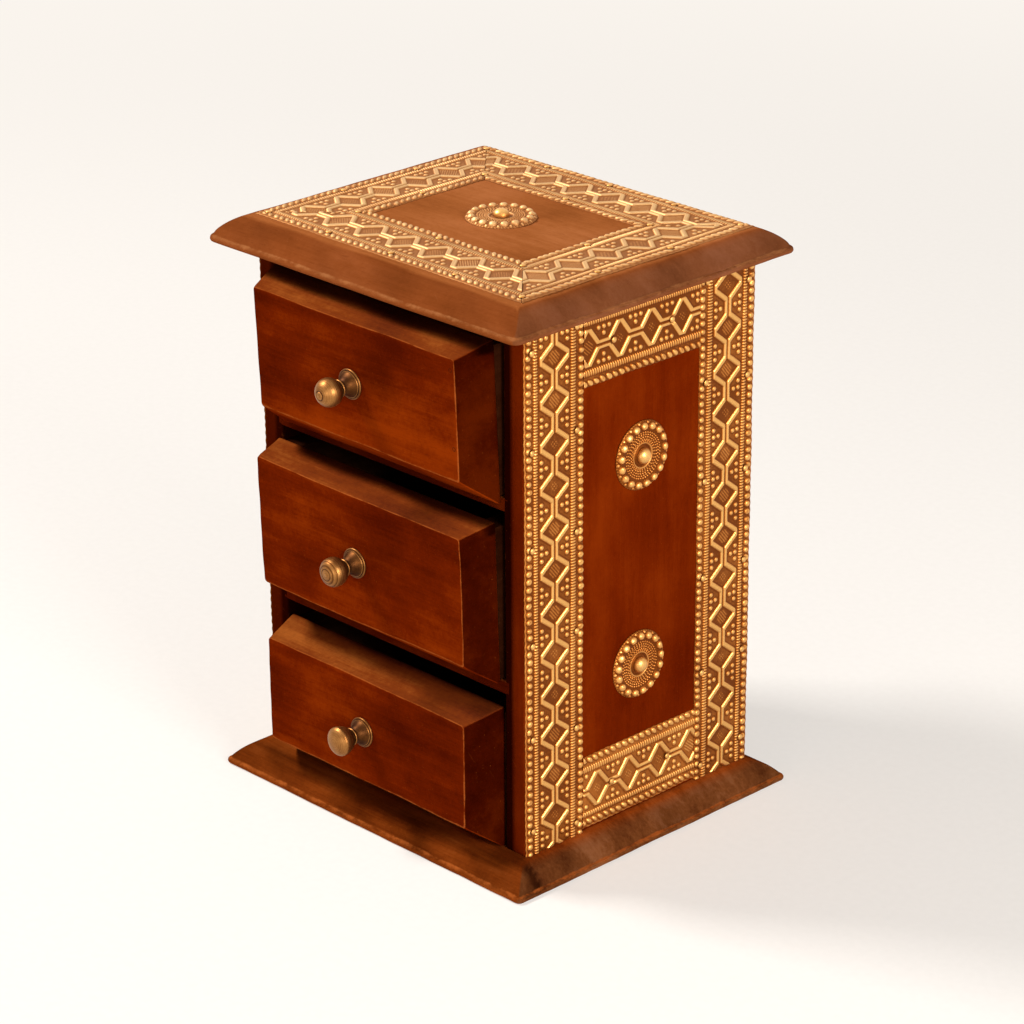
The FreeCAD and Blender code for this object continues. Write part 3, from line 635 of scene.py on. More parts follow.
# %% Drawer fronts
LAND, TOP_BEVEL, HALF_FRONT, SOFT = 1.0, 3.2, 52.7, 0.035
# foot: the lower rear edge's middle; tilt in degrees; trim: how much shorter the left end is; drop and
# slant: how much lower the upper ridge sits in the middle and at the ends; dark: how far forward, as a
# share of the thickness, the painted shadow on the top bevel reaches; lit_end: how much of that is taken
# back at the left, where light comes in from the side; dirt: painted shadow beside the knob;
# fade: painted light across and down the face, a change of its overall tone, and a
# painted lift on the top bevel.
FRONTS = {
    "lower": dict(foot=(0, -52.8, 9.3), height=51.0, thick=14.2, foot_bevel=9.8, side_bevel=4.6, tilt=-0.3,
                  trim=0.4, drop=0.6, slant=0.3, dark=0.26, lit_end=0.2, dirt=0.15,
                  fade=(0.05, -0.02, -0.035, 0.0)),
    "middle": dict(foot=(0, -54.5, 69.6), height=57.3, thick=12.7, foot_bevel=8.9, side_bevel=3.6, tilt=1.9,
                   trim=0.7, drop=-0.6, slant=0.5, dark=0.46, lit_end=1, dirt=0.35,
                   fade=(0.0, 0.03, -0.01, 0.02)),
    "upper": dict(foot=(0, -53.8, 132.9), height=56.1, thick=13.2, foot_bevel=10.2, side_bevel=5.0, tilt=2.6,
                  trim=1.1, drop=0.5, slant=0.5, dark=0.62, lit_end=0, dirt=0.55,
                  fade=(0.055, 0.09, 0.01, 0.035)),
}


def on_front(front, x, up, ahead):
    """Points given sideways, up and ahead of the front's back, leant out about its foot."""
    tilt = math.radians(front["tilt"])
    foot = front["foot"]
    y = -ahead * math.cos(tilt) - up * math.sin(tilt)
    z = -ahead * math.sin(tilt) + up * math.cos(tilt)
    return np.stack([foot[0] + x, foot[1] + y, foot[2] + z], -1)


def straight_ahead(front):
    """The way in which a front faces."""
    tilt = math.radians(front["tilt"])
    return 0, -math.cos(tilt), -math.sin(tilt)


def drawer_front(name, front, seed):
    """A front: a land, four bevels run out together, a rounded ridge and the face."""
    thick, height = front["thick"], front["height"]
    levels = []

    def level(run, ahead, ridge, radius=0.5):
        side, foot, top = front["side_bevel"] * run, front["foot_bevel"] * run, TOP_BEVEL * run
        left = -HALF_FRONT + front["trim"] + 0.7 * side
        levels.append((left, HALF_FRONT - side, foot, height - top, ahead, radius, ridge))

    level(0.03, 0.0, 0.0)
    level(0.0, 0.25, 0.2)
    level(0.0, LAND * 0.8, 0.35)
    for run in np.linspace(0.02, 1 - SOFT, 12)[:-1]:
        ridge = np.interp(run, [0, 0.06, 0.5, 0.9], [0.35, 0.1, 0.02, 0.3])
        level(run, LAND + (thick - LAND) * run, ridge, 0.7)
    start = np.array([1 - SOFT, LAND + (thick - LAND) * (1 - SOFT)])
    corner, stop = np.array([1.0, thick]), np.array([1.10, thick])
    for t in np.linspace(0, 1, 8):
        run, ahead = (1 - t) ** 2 * start + 2 * t * (1 - t) * corner + t ** 2 * stop
        level(run, ahead, np.interp(t, [0, 0.4, 0.6, 1], [0.5, 1.0, 1.0, 0.3]), 1.0)
    level(1.3, thick + 0.02, 0.1, 1.0)
    level(1.6, thick + 0.05, 0.0, 1.0)

    def place(u, v, w):
        forward = smooth(w / thick) * smooth(v / height * 2 - 1)
        return on_front(front, u, v - forward * (front["drop"] + front["slant"] * u / HALF_FRONT), w)

    points, faces, edge = stack(levels, place, seed, 0.22, 60, (0.9, 0.75, 0.55, 0.35, 0.15))
    _, cosine, sine = (-v for v in straight_ahead(front))
    x, rise, out = points[:, 0], points[:, 2] - front["foot"][2], front["foot"][1] - points[:, 1]
    ahead, up = out * cosine - rise * sine, rise * cosine + out * sine
    # Painted shadow on the rear of the top bevel, cast by what stands out above it, shorter at the left end
    # where the light comes in from the side.
    reach = front["dark"] + 0.04 * np.sin(x / 7 + seed) - 0.6 * front["lit_end"] * smooth((-38 - x) / 10)
    grime = 0.94 * smooth((reach - ahead / thick) / 0.3) * smooth((up - height + 5) / 1.5)
    # Painted shadow of the knob on the face, to its right and a little above it.
    knob_up = (front["foot_bevel"] + height - TOP_BEVEL) / 2
    grime = grime + front["dirt"] * np.exp(-((x - 11) ** 2 + (up - knob_up - 4) ** 2) / 8 ** 2)
    # Painted light: the face brighter or darker across and down it, a shift of its overall tone, and a
    # painted lift on the top bevel.
    across, down, overall, lift = front["fade"]
    on_bevel = smooth((up - height + TOP_BEVEL + 2) / 2.5)
    fade = across * x / HALF_FRONT + down * (1 - 2 * up / height) + overall
    marks = {"edge": edge, "grime": np.clip(grime, 0, 1), "fade": fade * (1 - on_bevel) + lift * on_bevel}
    node = "drawer_%s_front" % name
    make(node + "_block", (points, faces, marks), node, "drawer_" + name, wood_x, "x", 60)


for number, (name, front) in enumerate(FRONTS.items()):
    drawer_front(name, front, 41 + number)

# %% [markdown]
# ## The boxes behind the fronts
#
# A drawer's box is four plain boards and a bottom, seen only when the drawer is pulled. Their front ends
# follow the lean of the front. Shearing a square board does that: each point slides along the drawer by
# its share of the way to the front, so the rear end stays square. Painted shade makes the first part of
# each side nearly black, for the shade in the gap beside the front, and the part behind it less dark,
# fading out towards the middle, and the grime and shade mark keeps both.

# %% Drawer boxes
def box_boards(name, front, seed):
    """The sides, back and bottom of one drawer, with their front ends leant like the front."""
    slope = math.tan(math.radians(front["tilt"]))
    body = "drawer_" + name

    def leaning(points):
        y0, y1 = points[:, 1].min(), points[:, 1].max()
        share = (y1 - points[:, 1]) / (y1 - y0)
        target = front["foot"][1] - (points[:, 2] - front["foot"][2]) * slope
        points[:, 1] += share * (np.maximum(target, y0) - y0)
        return points

    def painted_gap_shade(points):
        y = points[:, 1]
        # Painted shade: nearly black at the front of the side, and less dark further back.
        stain, shade_further_back = smooth((-36 - y) / 10), smooth((4 - y) / 40)
        return 0.97 * stain + 0.45 * shade_further_back * (1 - stain)

    for step, side in enumerate(("_side_left", "_side_right")):
        board(body + side, "yzx", "y", body, wood_box, seed + step, 0.5, 0.06,
              leaning, painted_gap_shade)
    board(body + "_back", "xzy", "x", body, wood_box_x, seed + 2, 0.4, 0.06)
    board(body + "_bottom", "xyz", "x", body, wood_box_x, seed + 3, 0.3, 0.04)


for number, (name, front) in enumerate(FRONTS.items()):
    box_boards(name, front, 60 + 10 * number)


# %% [markdown]
# ## Embossed strips
#
# The strips were stamped from thin sheet: a chain of open diamonds down the middle, a roped rib on each
# side of it and a row of pearls outside each rib. A bump texture would fake that from afar, but the
# strips are what one looks at first, and their outline and shadows are real. So the sheet is a height
# over a fine grid. Each motif is a distance or a wave, its height follows from that, and where the pins
# were hammered in the pattern is flattened.

# %% Motifs of the pattern
STRIP, DIAMOND = 26.5, 14.67
ROPE_PLACE, ROPE_PITCH, BEAD_PITCH = 8.45, 1.03, 2.82


def dome(distance, power=2.0):
    """One at the middle of a bead and nought from distance 1 on, with a round or a pillowy top."""
    return np.sqrt(np.clip(1 - np.clip(distance, 0, 1) ** power, 0, 1))


def bell(x, place, width):
    """One at the place, and falling off like a bell on both sides of it."""
    return np.exp(-((x - place) / width) ** 2)


def chain(t, c):
    """The ribbon of diamonds: an octagon-like outline that narrows to a link, with a rhombus cut out.

    t is measured along the strip from a diamond's centre and c across from the middle. The two numbers
    are distances in from the ribbon's edge and out from the rhombus."""
    t, c = np.abs(t), np.abs(c)
    outline = np.maximum(np.minimum(6.55 - c, (1.4 - t) * 0.793 + (6.55 - c) * 0.61), 1.58 - c)
    rhombus = t * 0.79 + c * 0.613 - 3.27
    hole = np.where(t > 3.5, np.minimum(rhombus, c - 0.3), rhombus)
    return np.minimum(outline, hole), rhombus


def hatching(t, c, number, chance, spacing, longer):
    """The marks in a diamond: slanting strokes, which about every second diamond has broken into ticks."""
    across, along = 0.77 * c - 0.64 * t, 0.64 * c + 0.77 * t
    which = np.abs(number).astype(int) % chance.shape[1]
    broken = chance[0, which] < 0.55
    ticks = np.where(broken, smooth(0.5 + 1.2 * np.cos(2 * np.pi * along / 1.1)), 1.0)
    strokes = np.clip(np.cos(2 * np.pi * across / spacing + chance[1, which]), 0, 1) * ticks
    reach = np.where(broken, 1.7, 2.6) * longer
    return smooth(strokes * 1.4) * smooth((reach - np.hypot(across, along)) / 0.5)


def rope(t, c, twist):
    """Height and shine of the roped ribs on both sides of the chain: a round ridge times a slanted wave."""
    away = np.abs(c) - ROPE_PLACE
    ribs = 0.5 + 0.5 * np.cos(2 * np.pi * (t - twist * 0.3 * away * np.sign(c)) / ROPE_PITCH)
    body = dome(np.abs(away) / np.where(c > 0, 1.0, 1.2))
    return body * np.stack([0.04 + 0.54 * ribs ** 0.65, 0.02 + 0.96 * ribs ** 0.8])


def pearls(t, c, table, twist):
    """Height and shine of the pearls along both edges, and their dark rims of patina and painted shade.

    Each pearl takes its size, shift and height from a column of the table, and some have a dent."""
    away = np.abs(c) - np.where(c > 0, 11.4, 11.8)
    slid = t - twist * away * np.sign(c)
    number = np.round(slid / BEAD_PITCH)
    size, shift, tall, dented = table[:, np.abs(number).astype(int) % table.shape[1]]
    along = (slid - number * BEAD_PITCH + 0.12 * shift) / (1.12 + 0.06 * size)
    across = (away + 0.08 * tall) / (1.2 + 0.05 * dented)
    distance = np.hypot(along, across)
    dent = np.exp(-((along - 0.1) ** 2 + (across + 0.1) ** 2) / 0.12) * (dented > 0.6)
    body = dome(distance, 2.4)
    pearl = np.stack([body * (0.66 + 0.06 * tall) - 0.2 * dent, body * (0.9 + 0.1 * size) - 0.35 * dent])
    return pearl, 0.2 * bell(distance, 1.15, 0.16)


print("a diamond is %.1f mm long, a pearl %.1f, a rib %.1f" % (DIAMOND, BEAD_PITCH, ROPE_PITCH))


# %% The whole pattern
def strip_relief(t, c, phase, pitch, pins, seed, lean, twist, hatch):
    """Height in mm of the stamped sheet over its back, and its shine: how bright a point is rubbed, less
    the patina and painted shade at the foot of the relief.

    t runs along the strip and c across it. lean is the side to which the strokes in the diamonds slope,
    and twist slants the pearls and ropes."""
    rng = np.random.default_rng(seed)
    number = np.round((t - phase) / pitch)
    local, away = t - phase - number * pitch, np.abs(c)
    ribbon, rhombus = chain(local * (DIAMOND / pitch), c)
    inside = smooth((-rhombus - 0.1) / 0.3)
    strokes = hatching(local, c * lean, number, rng.uniform(size=(2, 64)), *hatch) * inside
    height = 0.5 * smooth((ribbon + 0.06) / 0.42) + 0.06 * bell(ribbon, 0.40, 0.15)
    # The dark band just outside each ribbon is patina and painted shade at the foot of the relief.
    shine = 0.66 * smooth(ribbon / 0.3) + 0.32 * bell(ribbon, 0.38, 0.17) - 0.18 * bell(ribbon, -0.22, 0.2)
    relief = np.stack([height - 0.1 * inside + 0.2 * strokes, shine + 0.16 - 0.04 * inside + 0.4 * strokes])
    for dot_c, dot_t in ((5.75, pitch / 2), (5.75, pitch / 2 - 2.4), (3.55, pitch / 2)):
        distance = np.hypot(np.abs(local) - dot_t, away - dot_c) / 0.88
        # A dark ring at the foot of each dot: patina and painted shade.
        relief[1] -= 0.16 * bell(distance, 1.2, 0.22)
        relief = np.maximum(relief, [0.45 * dome(distance), 0.9 * dome(distance)])
    trough = smooth((away - 6.9) / 0.4)
    relief *= 1 - trough
    relief[1] += 0.06 * trough + 0.16 * smooth((away - 9.6) / 0.6)
    relief = np.maximum(relief, rope(t, c, twist))
    pearl, rim = pearls(t, c, rng.normal(size=(4, 200)), twist)
    relief[1] -= rim
    relief = np.maximum(relief, pearl)
    for pin_t, pin_c in pins:
        near = smooth((np.hypot(t - pin_t, c - pin_c) - 0.95) / 1.1)
        relief *= [near, 0.55 + 0.45 * near]
    return relief


t, c = np.meshgrid(np.arange(0, 30, 0.5), np.arange(-12, 13, 0.5))
sample = strip_relief(t, c, 0, DIAMOND, [], 1, 1, 0, (0.9, 1.0))
print("the pattern stands up to %.2f mm high" % sample[0].max())

# %% [markdown]
# The sheet itself is never quite flat or straight. Its edge wanders by a tenth or two, the outer edge is
# folded under and catches the light as a thin lip, and slow waves lift it off the wood between the pins.
# The grid's lines across the strip crowd where the pattern is fine. The mitred strips of the top use the
# same grid, drawn in at both ends by as much as the mitre asks.

# %% Strips as grids of heights
HALF_LINES = np.array([
    0.2, 0.42, 0.65, 0.95, 1.3, 1.6, 1.9, 2.2, 2.55, 2.9, 3.25, 3.6, 3.95, 4.3, 4.65, 5.0, 5.3, 5.6, 5.9,
    6.2, 6.5, 6.8, 7.1, 7.32, 7.52, 7.8, 8.12, 8.45, 8.78, 9.1, 9.38, 9.6, 9.95, 10.28, 10.5, 10.75, 11.05,
    11.4, 11.75, 12.05, 12.32, 12.6, 12.85])
INNER_EDGE, OUTER_EDGE = 13.2, 13.3
ACROSS = [-INNER_EDGE, -13.05, *-HALF_LINES[::-1], 0.0, *HALF_LINES, 13.02, 13.15, 13.23, OUTER_EDGE]
SHEET, GRID_STEP = 0.2, 0.22


def embossed_strip(node, origin, axes, length, phase, pitch, pins, seed, material, lean=1, twist=0.0, rub=0.0,
                   mitre=0.0, hatch=(0.9, 1.0), width=STRIP, lip=0.1):
    """A closed sheet over a grid: along the strip from its start, across it from the chain's middle line.

    The axes are the ways along, across and out. The first diamond's middle is at the phase, and rub
    brightens the whole strip, or darkens it below nought: painted light and shade on the cross strips."""
    along, across, out = (np.array(axis, float) for axis in axes)
    scale = STRIP / width
    c = np.array(ACROSS) / scale
    outer = c[-1]
    inset = (outer - c) * mitre
    steps = np.linspace(0, 1, int(length / GRID_STEP) + 1)[:, None]
    t = inset + steps * (length - 2 * inset)
    c = np.broadcast_to(c, t.shape)
    pins = [(pin_t, pin_c * scale) for pin_t, pin_c in pins]
    height, shine = strip_relief(t, c * scale, phase, pitch, pins, seed, lean, twist, hatch)
    waves = np.random.default_rng(seed + 100).uniform(0, 2 * np.pi, 4)
    lift = 0.10 + 0.05 * np.sin(t / 13 + waves[0] + c / 9) + 0.05 * np.sin(t / 7.3 + waves[1] - c / 5)
    folded = lip * bell(c, outer - 0.25, 0.2)
    level = SHEET + lift + np.clip(height, -0.12, 1) + folded
    level = 0.16 + (level - 0.16) * smooth(np.minimum(c - c[0, 0], outer - c) / 0.3)
    wander = 0.10 * np.sin(t / 11 + waves[2]) + 0.07 * np.sin(t / 4.1 + waves[3])
    wander = (wander + 0.1 * np.cos(2 * np.pi * t / BEAD_PITCH)) * np.sign(c) * smooth((np.abs(c) - 9) / 4)
    surface = origin + t[..., None] * along + (c + wander)[..., None] * across + level[..., None] * out
    surface = surface.reshape(-1, 3)
    rows, cols = t.shape
    order = np.arange(rows * cols).reshape(rows, cols)
    rim = np.concatenate([order[0, :-1], order[:-1, -1], order[-1, :0:-1], order[:0:-1, 0]])
    foot = surface[rim] - np.outer(level.ravel()[rim], out)
    below = len(surface) + np.arange(len(rim))
    walls = np.stack([below, np.roll(below, -1), np.roll(rim, -1), rim], -1)
    faces = [grid_faces(rows, cols), walls, fan(below[::-1], len(surface) + len(rim))]
    points = np.concatenate([surface, foot, [foot.mean(0)]])
    bright = np.clip(shine, 0, 1) + 3 * folded + rub
    shape = points, faces, {"relief": np.concatenate([bright.ravel(), np.zeros(len(rim) + 1)])}
    make(node + "_sheet", shape, node, "carcass", material, sharp=0)


# %% The strips of the two sides
# Each strip's first diamond and its pitch, and the pins' distance from the strips' edges.
PIN_INSET, GAP = 3.2, 0.1
SIDE_PINS_OUTER, SIDE_PINS_INNER = np.linspace(17.5, 185.5, 6), np.linspace(13.5, 189.5, 6)
CROSS_PINS = (-13.5, 13.5)
BOTTOM_Z = FLOOR_Z + 0.8
UPRIGHTS = ((-1, "front", 20.3, DIAMOND), (1, "rear", 21.5, 14.95))
CROSSES = (("top", CEILING_Z, 1, 3.9, 14.5), ("bottom", BOTTOM_Z, -1, -5.2, 15.0))
for side, word in ((1, "right"), (-1, "left")):
    x, out = side * HALF_WIDTH, (side, 0, 0)
    for end, name, first, pitch in UPRIGHTS:
        pins = [(z - FLOOR_Z, OUTER_EDGE - PIN_INSET) for z in SIDE_PINS_OUTER]
        pins += [(z - FLOOR_Z, OUTER_EDGE - STRIP + PIN_INSET) for z in SIDE_PINS_INNER]
        embossed_strip("%s_strip_%s" % (word, name), (x, end * (HALF_DEPTH - OUTER_EDGE), FLOOR_Z),
                       ((0, 0, 1), (0, end, 0), out), CEILING_Z - FLOOR_Z, first - FLOOR_Z, pitch, pins,
                       200 + 10 * side + end, brass, lean=-end)
    run = HALF_DEPTH - STRIP - GAP
    for name, outer_z, way, first, pitch in CROSSES:
        pins = [(y + run, OUTER_EDGE - STRIP / 2) for y in CROSS_PINS]
        # The last number is painted light on the bottom strip and painted shade on the top one, under the top
        # board's overhang.
        embossed_strip("%s_strip_%s" % (word, name), (x, -run, outer_z - way * OUTER_EDGE),
                       ((0, 1, 0), (0, 0, way), out), 2 * run, first + run, pitch, pins,
                       230 + 10 * side + way, brass, -way, -0.5 * way, 0.05 - 0.09 * way)

# %% [markdown]
# Four strips frame the top, mitred at its corners, a millimetre wider than the side's and more worn; their
# paler, duller brass is partly painted sheen of light from above. The same pins run through both edges of
# the frame, and each strip takes the ones that lie on it.

# %% The four mitred strips of the top
TOP_STRIP, FRAME_X, FRAME_Y = 27.5, 63.5, 53.5
FRAME_CENTRE = np.array([-0.5, -0.5, TOP_Z])
# The corner where each strip starts, the ways along and across it, its first diamond and its pitch.
TOP_RUNS = {
    "front": ((-1, -1), (1, 0, 0), (0, -1, 0), 11.5, 15.35),
    "right": ((1, -1), (0, 1, 0), (1, 0, 0), 20.5, 15.2),
    "back": ((-1, 1), (1, 0, 0), (0, 1, 0), 13.4, 14.95),
    "left": ((-1, -1), (0, 1, 0), (-1, 0, 0), 30.1, 15.2),
}


def frame_pins(half_x, half_y, count_x, count_y):
    """Pins round a rectangle: so many along x and along y, the corners counted in both."""
    along_x = [(x, s * half_y) for s in (-1, 1) for x in np.linspace(-half_x, half_x, count_x)]
    return along_x + [(s * half_x, y) for s in (-1, 1) for y in np.linspace(-half_y, half_y, count_y)[1:-1]]


TOP_PINS = frame_pins(FRAME_X - PIN_INSET, FRAME_Y - PIN_INSET, 5, 4)
TOP_PINS += frame_pins(FRAME_X - TOP_STRIP + PIN_INSET, FRAME_Y - TOP_STRIP + PIN_INSET, 3, 3)
for number, (name, (corner, along, across, phase, pitch)) in enumerate(TOP_RUNS.items()):
    length = 2 * (FRAME_X if along[0] else FRAME_Y) - 2 * GAP
    start = FRAME_CENTRE + (corner[0] * FRAME_X, corner[1] * FRAME_Y, 0)
    start = start - OUTER_EDGE * TOP_STRIP / STRIP * np.array(across) + GAP * np.array(along)
    seats = [FRAME_CENTRE + (x, y, 0) - start for x, y in TOP_PINS]
    pins = [(seat @ np.array(along), seat @ np.array(across)) for seat in seats]
    pins = [(pin_t, pin_c) for pin_t, pin_c in pins if abs(pin_c) < 14]
    embossed_strip("top_strip_" + name, start, (along, across, (0, 0, 1)), length, phase, pitch, pins,
                   250 + number, brass_top, twist=0.75, mitre=1.0, hatch=(0.78, 1.7), width=TOP_STRIP,
                   lip=0.0)

# %% [markdown]
# ## Turned pieces
#
# Knobs, tacks, pins, nails and brads are all bodies of revolution. A profile in radius and height is
# carried round an axis, and where it meets the axis a fan shuts it. Dozens of pins are one mesh: the
# small turned shape is copied by adding each place to its points.

# %% Turning a profile
def turned(profile, around, relief=None):
    """A closed surface of revolution: each profile point (radius, height) becomes a circle, and the first
    and last are points on the axis."""
    profile = np.array(profile, float)
    angles = np.linspace(0, 2 * np.pi, around, endpoint=False)
    body = profile[1:-1]
    rings = np.stack([np.outer(body[:, 0], np.cos(angles)), np.outer(body[:, 0], np.sin(angles)),
                      np.repeat(body[:, 1:], around, 1)], -1).reshape(-1, 3)
    ends = np.array([[0, 0, profile[0, 1]], [0, 0, profile[-1, 1]]])
    faces = tube_faces(len(body), around, len(rings), len(rings) + 1)
    marks = {}
    if relief is not None:
        relief = np.array(relief, float)
        marks["relief"] = np.concatenate([np.repeat(relief[1:-1], around), relief[[0, -1]]])
    return np.concatenate([rings, ends]), faces, marks


def turn_to(axis):
    """The 3 by 3 matrix that sends +Z to an axis."""
    return np.array(Vector((0, 0, 1)).rotation_difference(Vector(axis)).to_matrix())


def joined(shapes):
    """Several closed shapes as one."""
    shifts = np.cumsum([0] + [len(shape[0]) for shape in shapes])
    faces = [block + shift for shape, shift in zip(shapes, shifts) for block in shape[1]]
    marks = {key: np.concatenate([shape[2][key] for shape in shapes]) for key in shapes[0][2]}
    return np.concatenate([shape[0] for shape in shapes]), faces, marks


def copies(shape, places, axis):
    """The same closed shape set at many places, all along one axis."""
    points, faces, marks = shape
    points = points @ turn_to(axis).T
    return joined([(points + place, faces, marks) for place in np.array(places, float)])


# %% Pins
PIN_PROFILE = [(0, -3.5), (0.4, -3.5), (0.4, -0.05), (1.1, -0.05), (1.16, 0.1), (1.1, 0.24), (0.92, 0.4),
               (0.62, 0.52), (0.3, 0.58), (0, 0.6)]
pin_shape = turned(PIN_PROFILE, 16, [0, 0, 0, 0, 0.1, 0.35, 0.6, 0.75, 0.8, 0.8])
PIN_LIFT = 0.5
for side, word in ((1, "right"), (-1, "left")):
    places = []
    for end in (-1, 1):
        places += [(end * (HALF_DEPTH - PIN_INSET), z) for z in SIDE_PINS_OUTER]
        places += [(end * (HALF_DEPTH - STRIP + PIN_INSET), z) for z in SIDE_PINS_INNER]
    places += [(y, z) for z in (CEILING_Z - STRIP / 2, BOTTOM_Z + STRIP / 2) for y in CROSS_PINS]
    places = [(side * (HALF_WIDTH + PIN_LIFT), y, z) for y, z in places]
    shape = copies(pin_shape, places, (side, 0, 0))
    make(word + "_pins", shape, word + "_strip_pins", "carcass", pin_brass)
shape = copies(pin_shape, [FRAME_CENTRE + (x, y, PIN_LIFT) for x, y in TOP_PINS], (0, 0, 1))
make("top_pins", shape, "top_strip_pins", "carcass", pin_brass)

# %% [markdown]
# ## Medallions
#
# Each boss is a disc pressed into a raised ring of big pearls, with small ones on its outer slope, rings
# of fine dots in its dish and a thin collar round the middle, where a round-headed tack holds it. It is a
# height again, now over radius and angle: a smooth profile plus domes that repeat round the circle.

# %% Medallions
DISH_RADII = [0.7, 3.2, 3.5, 3.8, 4.2, 7.6, 8.5, 9.3, 10.4, 11.2, 11.8, 12.0]
DISH_HEIGHTS = [0.9, 0.9, 0.5, 0.5, 0.8, 0.9, 1.0, 1.15, 1.15, 0.8, 0.4, 0.25]
PEARLS, RIM_BEADS = 17, 68
DOT, DOT_RINGS = 0.68, ((7.9, 46), (7.1, 41), (6.3, 36), (5.5, 31))


def ring_of_beads(r, a, place, size, count, turn):
    """Round beads of one size on a circle: the distance to the nearest bead's middle, as a dome."""
    step = 2 * np.pi / count
    nearest = np.round((a - turn) / step) * step + turn
    x, y = r * np.cos(a - nearest) - place, r * np.sin(a - nearest)
    return dome(np.hypot(x, y) / (size / 2))


def medallion(node, centre, out, seed, material):
    """A pressed boss: a profile over the radius with pearls, small beads and dots round it."""
    radii = np.concatenate([np.linspace(0.7, 3.4, 6), np.linspace(3.6, 8.2, 30), np.linspace(8.35, 12.0, 27)])
    r, a = np.meshgrid(radii, np.linspace(0, 2 * np.pi, 408, endpoint=False), indexing="ij")
    turn = np.random.default_rng(seed).uniform(0, 1)
    big = ring_of_beads(r, a, 10.25, 2.9, PEARLS, turn)
    small = ring_of_beads(r, a, 11.45, 1.1, PEARLS, turn + np.pi / PEARLS)
    rim = ring_of_beads(r, a, 11.85, 0.85, RIM_BEADS, turn)
    dots = np.maximum.reduce([ring_of_beads(r, a, place, DOT, count, turn + place)
                              for place, count in DOT_RINGS])
    fine = ring_of_beads(r, a, 4.95, 0.62, 30, turn)
    collar = dome(np.abs(r - 4.25) / 0.38)
    raised = np.maximum.reduce([big, 0.4 * small, 0.14 * rim, 0.3 * dots, 0.25 * fine, 0.25 * collar])
    uneven = 0.04 * np.sin(2 * a + turn) + 0.03 * np.sin(3 * a + 1)
    level = np.interp(r, DISH_RADII, DISH_HEIGHTS) + raised + uneven
    reach = r + 0.06 * np.cos(a * RIM_BEADS) * smooth(r - 11)
    relief = np.maximum.reduce([big, 0.7 * small, 0.35 * rim, 0.6 * dots, 0.55 * fine, 0.6 * collar,
                                0.08 * smooth(r - 8)])
    relief = np.where((r > 3.3) & (r < 3.9), 0.0, relief)
    surface = np.stack([reach * np.cos(a), reach * np.sin(a), level], -1)
    ends = [(0, 0, 0.9), (0, 0, 0)]
    points = np.concatenate([surface.reshape(-1, 3), surface[-1] * (1, 1, 0), ends]) @ turn_to(out).T + centre
    rows, cols = r.shape
    faces = tube_faces(rows + 1, cols, (rows + 1) * cols, (rows + 1) * cols + 1)
    shape = points, faces, {"relief": np.concatenate([relief.ravel(), np.zeros(cols + 2)])}
    make(node + "_pressed", shape, node, "carcass", material, sharp=0)


# %% Tacks, and the medallions in their places
rise = np.linspace(0, np.pi / 2, 12)
TACK_HEAD = list(zip(2.85 * np.cos(rise), 2.4 * np.sin(rise) ** 0.95))[:-1] + [(0, 2.4)]
tack_shape = turned([(0, -7.5), (0.7, -7.5), (0.7, -0.1), (2.75, -0.1)] + TACK_HEAD, 40,
                    [0, 0, 0, 0, *(0.25 + 0.6 * np.sin(rise))])
TACK_LIFT = 1.0
SIDE_SEATS = (("lower", -0.8, 62.4), ("upper", 0, 137.2))
for side, word in ((1, "right"), (-1, "left")):
    x, out = side * HALF_WIDTH, (side, 0, 0)
    for number, (key, y, z) in enumerate(SIDE_SEATS):
        medallion("%s_medallion_%s" % (word, key), (x, y, z), out, 300 + number + 10 * side, brass)
    shape = copies(tack_shape, [(x + side * TACK_LIFT, y, z) for _, y, z in SIDE_SEATS], out)
    make(word + "_tacks", shape, word + "_medallion_tacks", "carcass", pin_brass)
medallion("top_medallion", (-2.5, 0.5, TOP_Z), (0, 0, 1), 320, brass_top)
shape = copies(tack_shape, [(-2.5, 0.5, TOP_Z + TACK_LIFT)], (0, 0, 1))
make("top_tack", shape, "top_medallion_tack", "carcass", pin_brass)

# %% [markdown]
# ## Knobs
#
# The knobs were turned one by one, so the three heads differ: a mushroom with a shallow dome, a barrel
# with a blunt ringed front, and a ball with a ring and a pip at its tip. All stand on a spread foot with a
# bright rim and a thin line by it, a waist and a collar. The profiles below follow those parts in order,
# and each point also says how much the metal there is rubbed bright.

# %% Knob profiles
# Each head's diameter, the heights of its widest ring and its tip, how blunt it is in front, and its
# rings as (depth, radius, width), where a pip stands at radius nought and a raised ring is negative.
HEADS = {
    "lower": (10.2, 10.7, 13.2, 2.0, ()),
    "middle": (10.0, 9.4, 13.3, 2.8,
               ((0.12, 3.1, 0.18), (0.12, 2.0, 0.18), (-0.2, 0, 0.55), (0.1, 4.3, 0.14))),
    "upper": (9.8, 9.5, 13.9, 2.1, ((0.16, 1.55, 0.2), (-0.1, 1.15, 0.2), (-0.22, 0, 0.5))),
}
COLLAR_TOP = 5.7


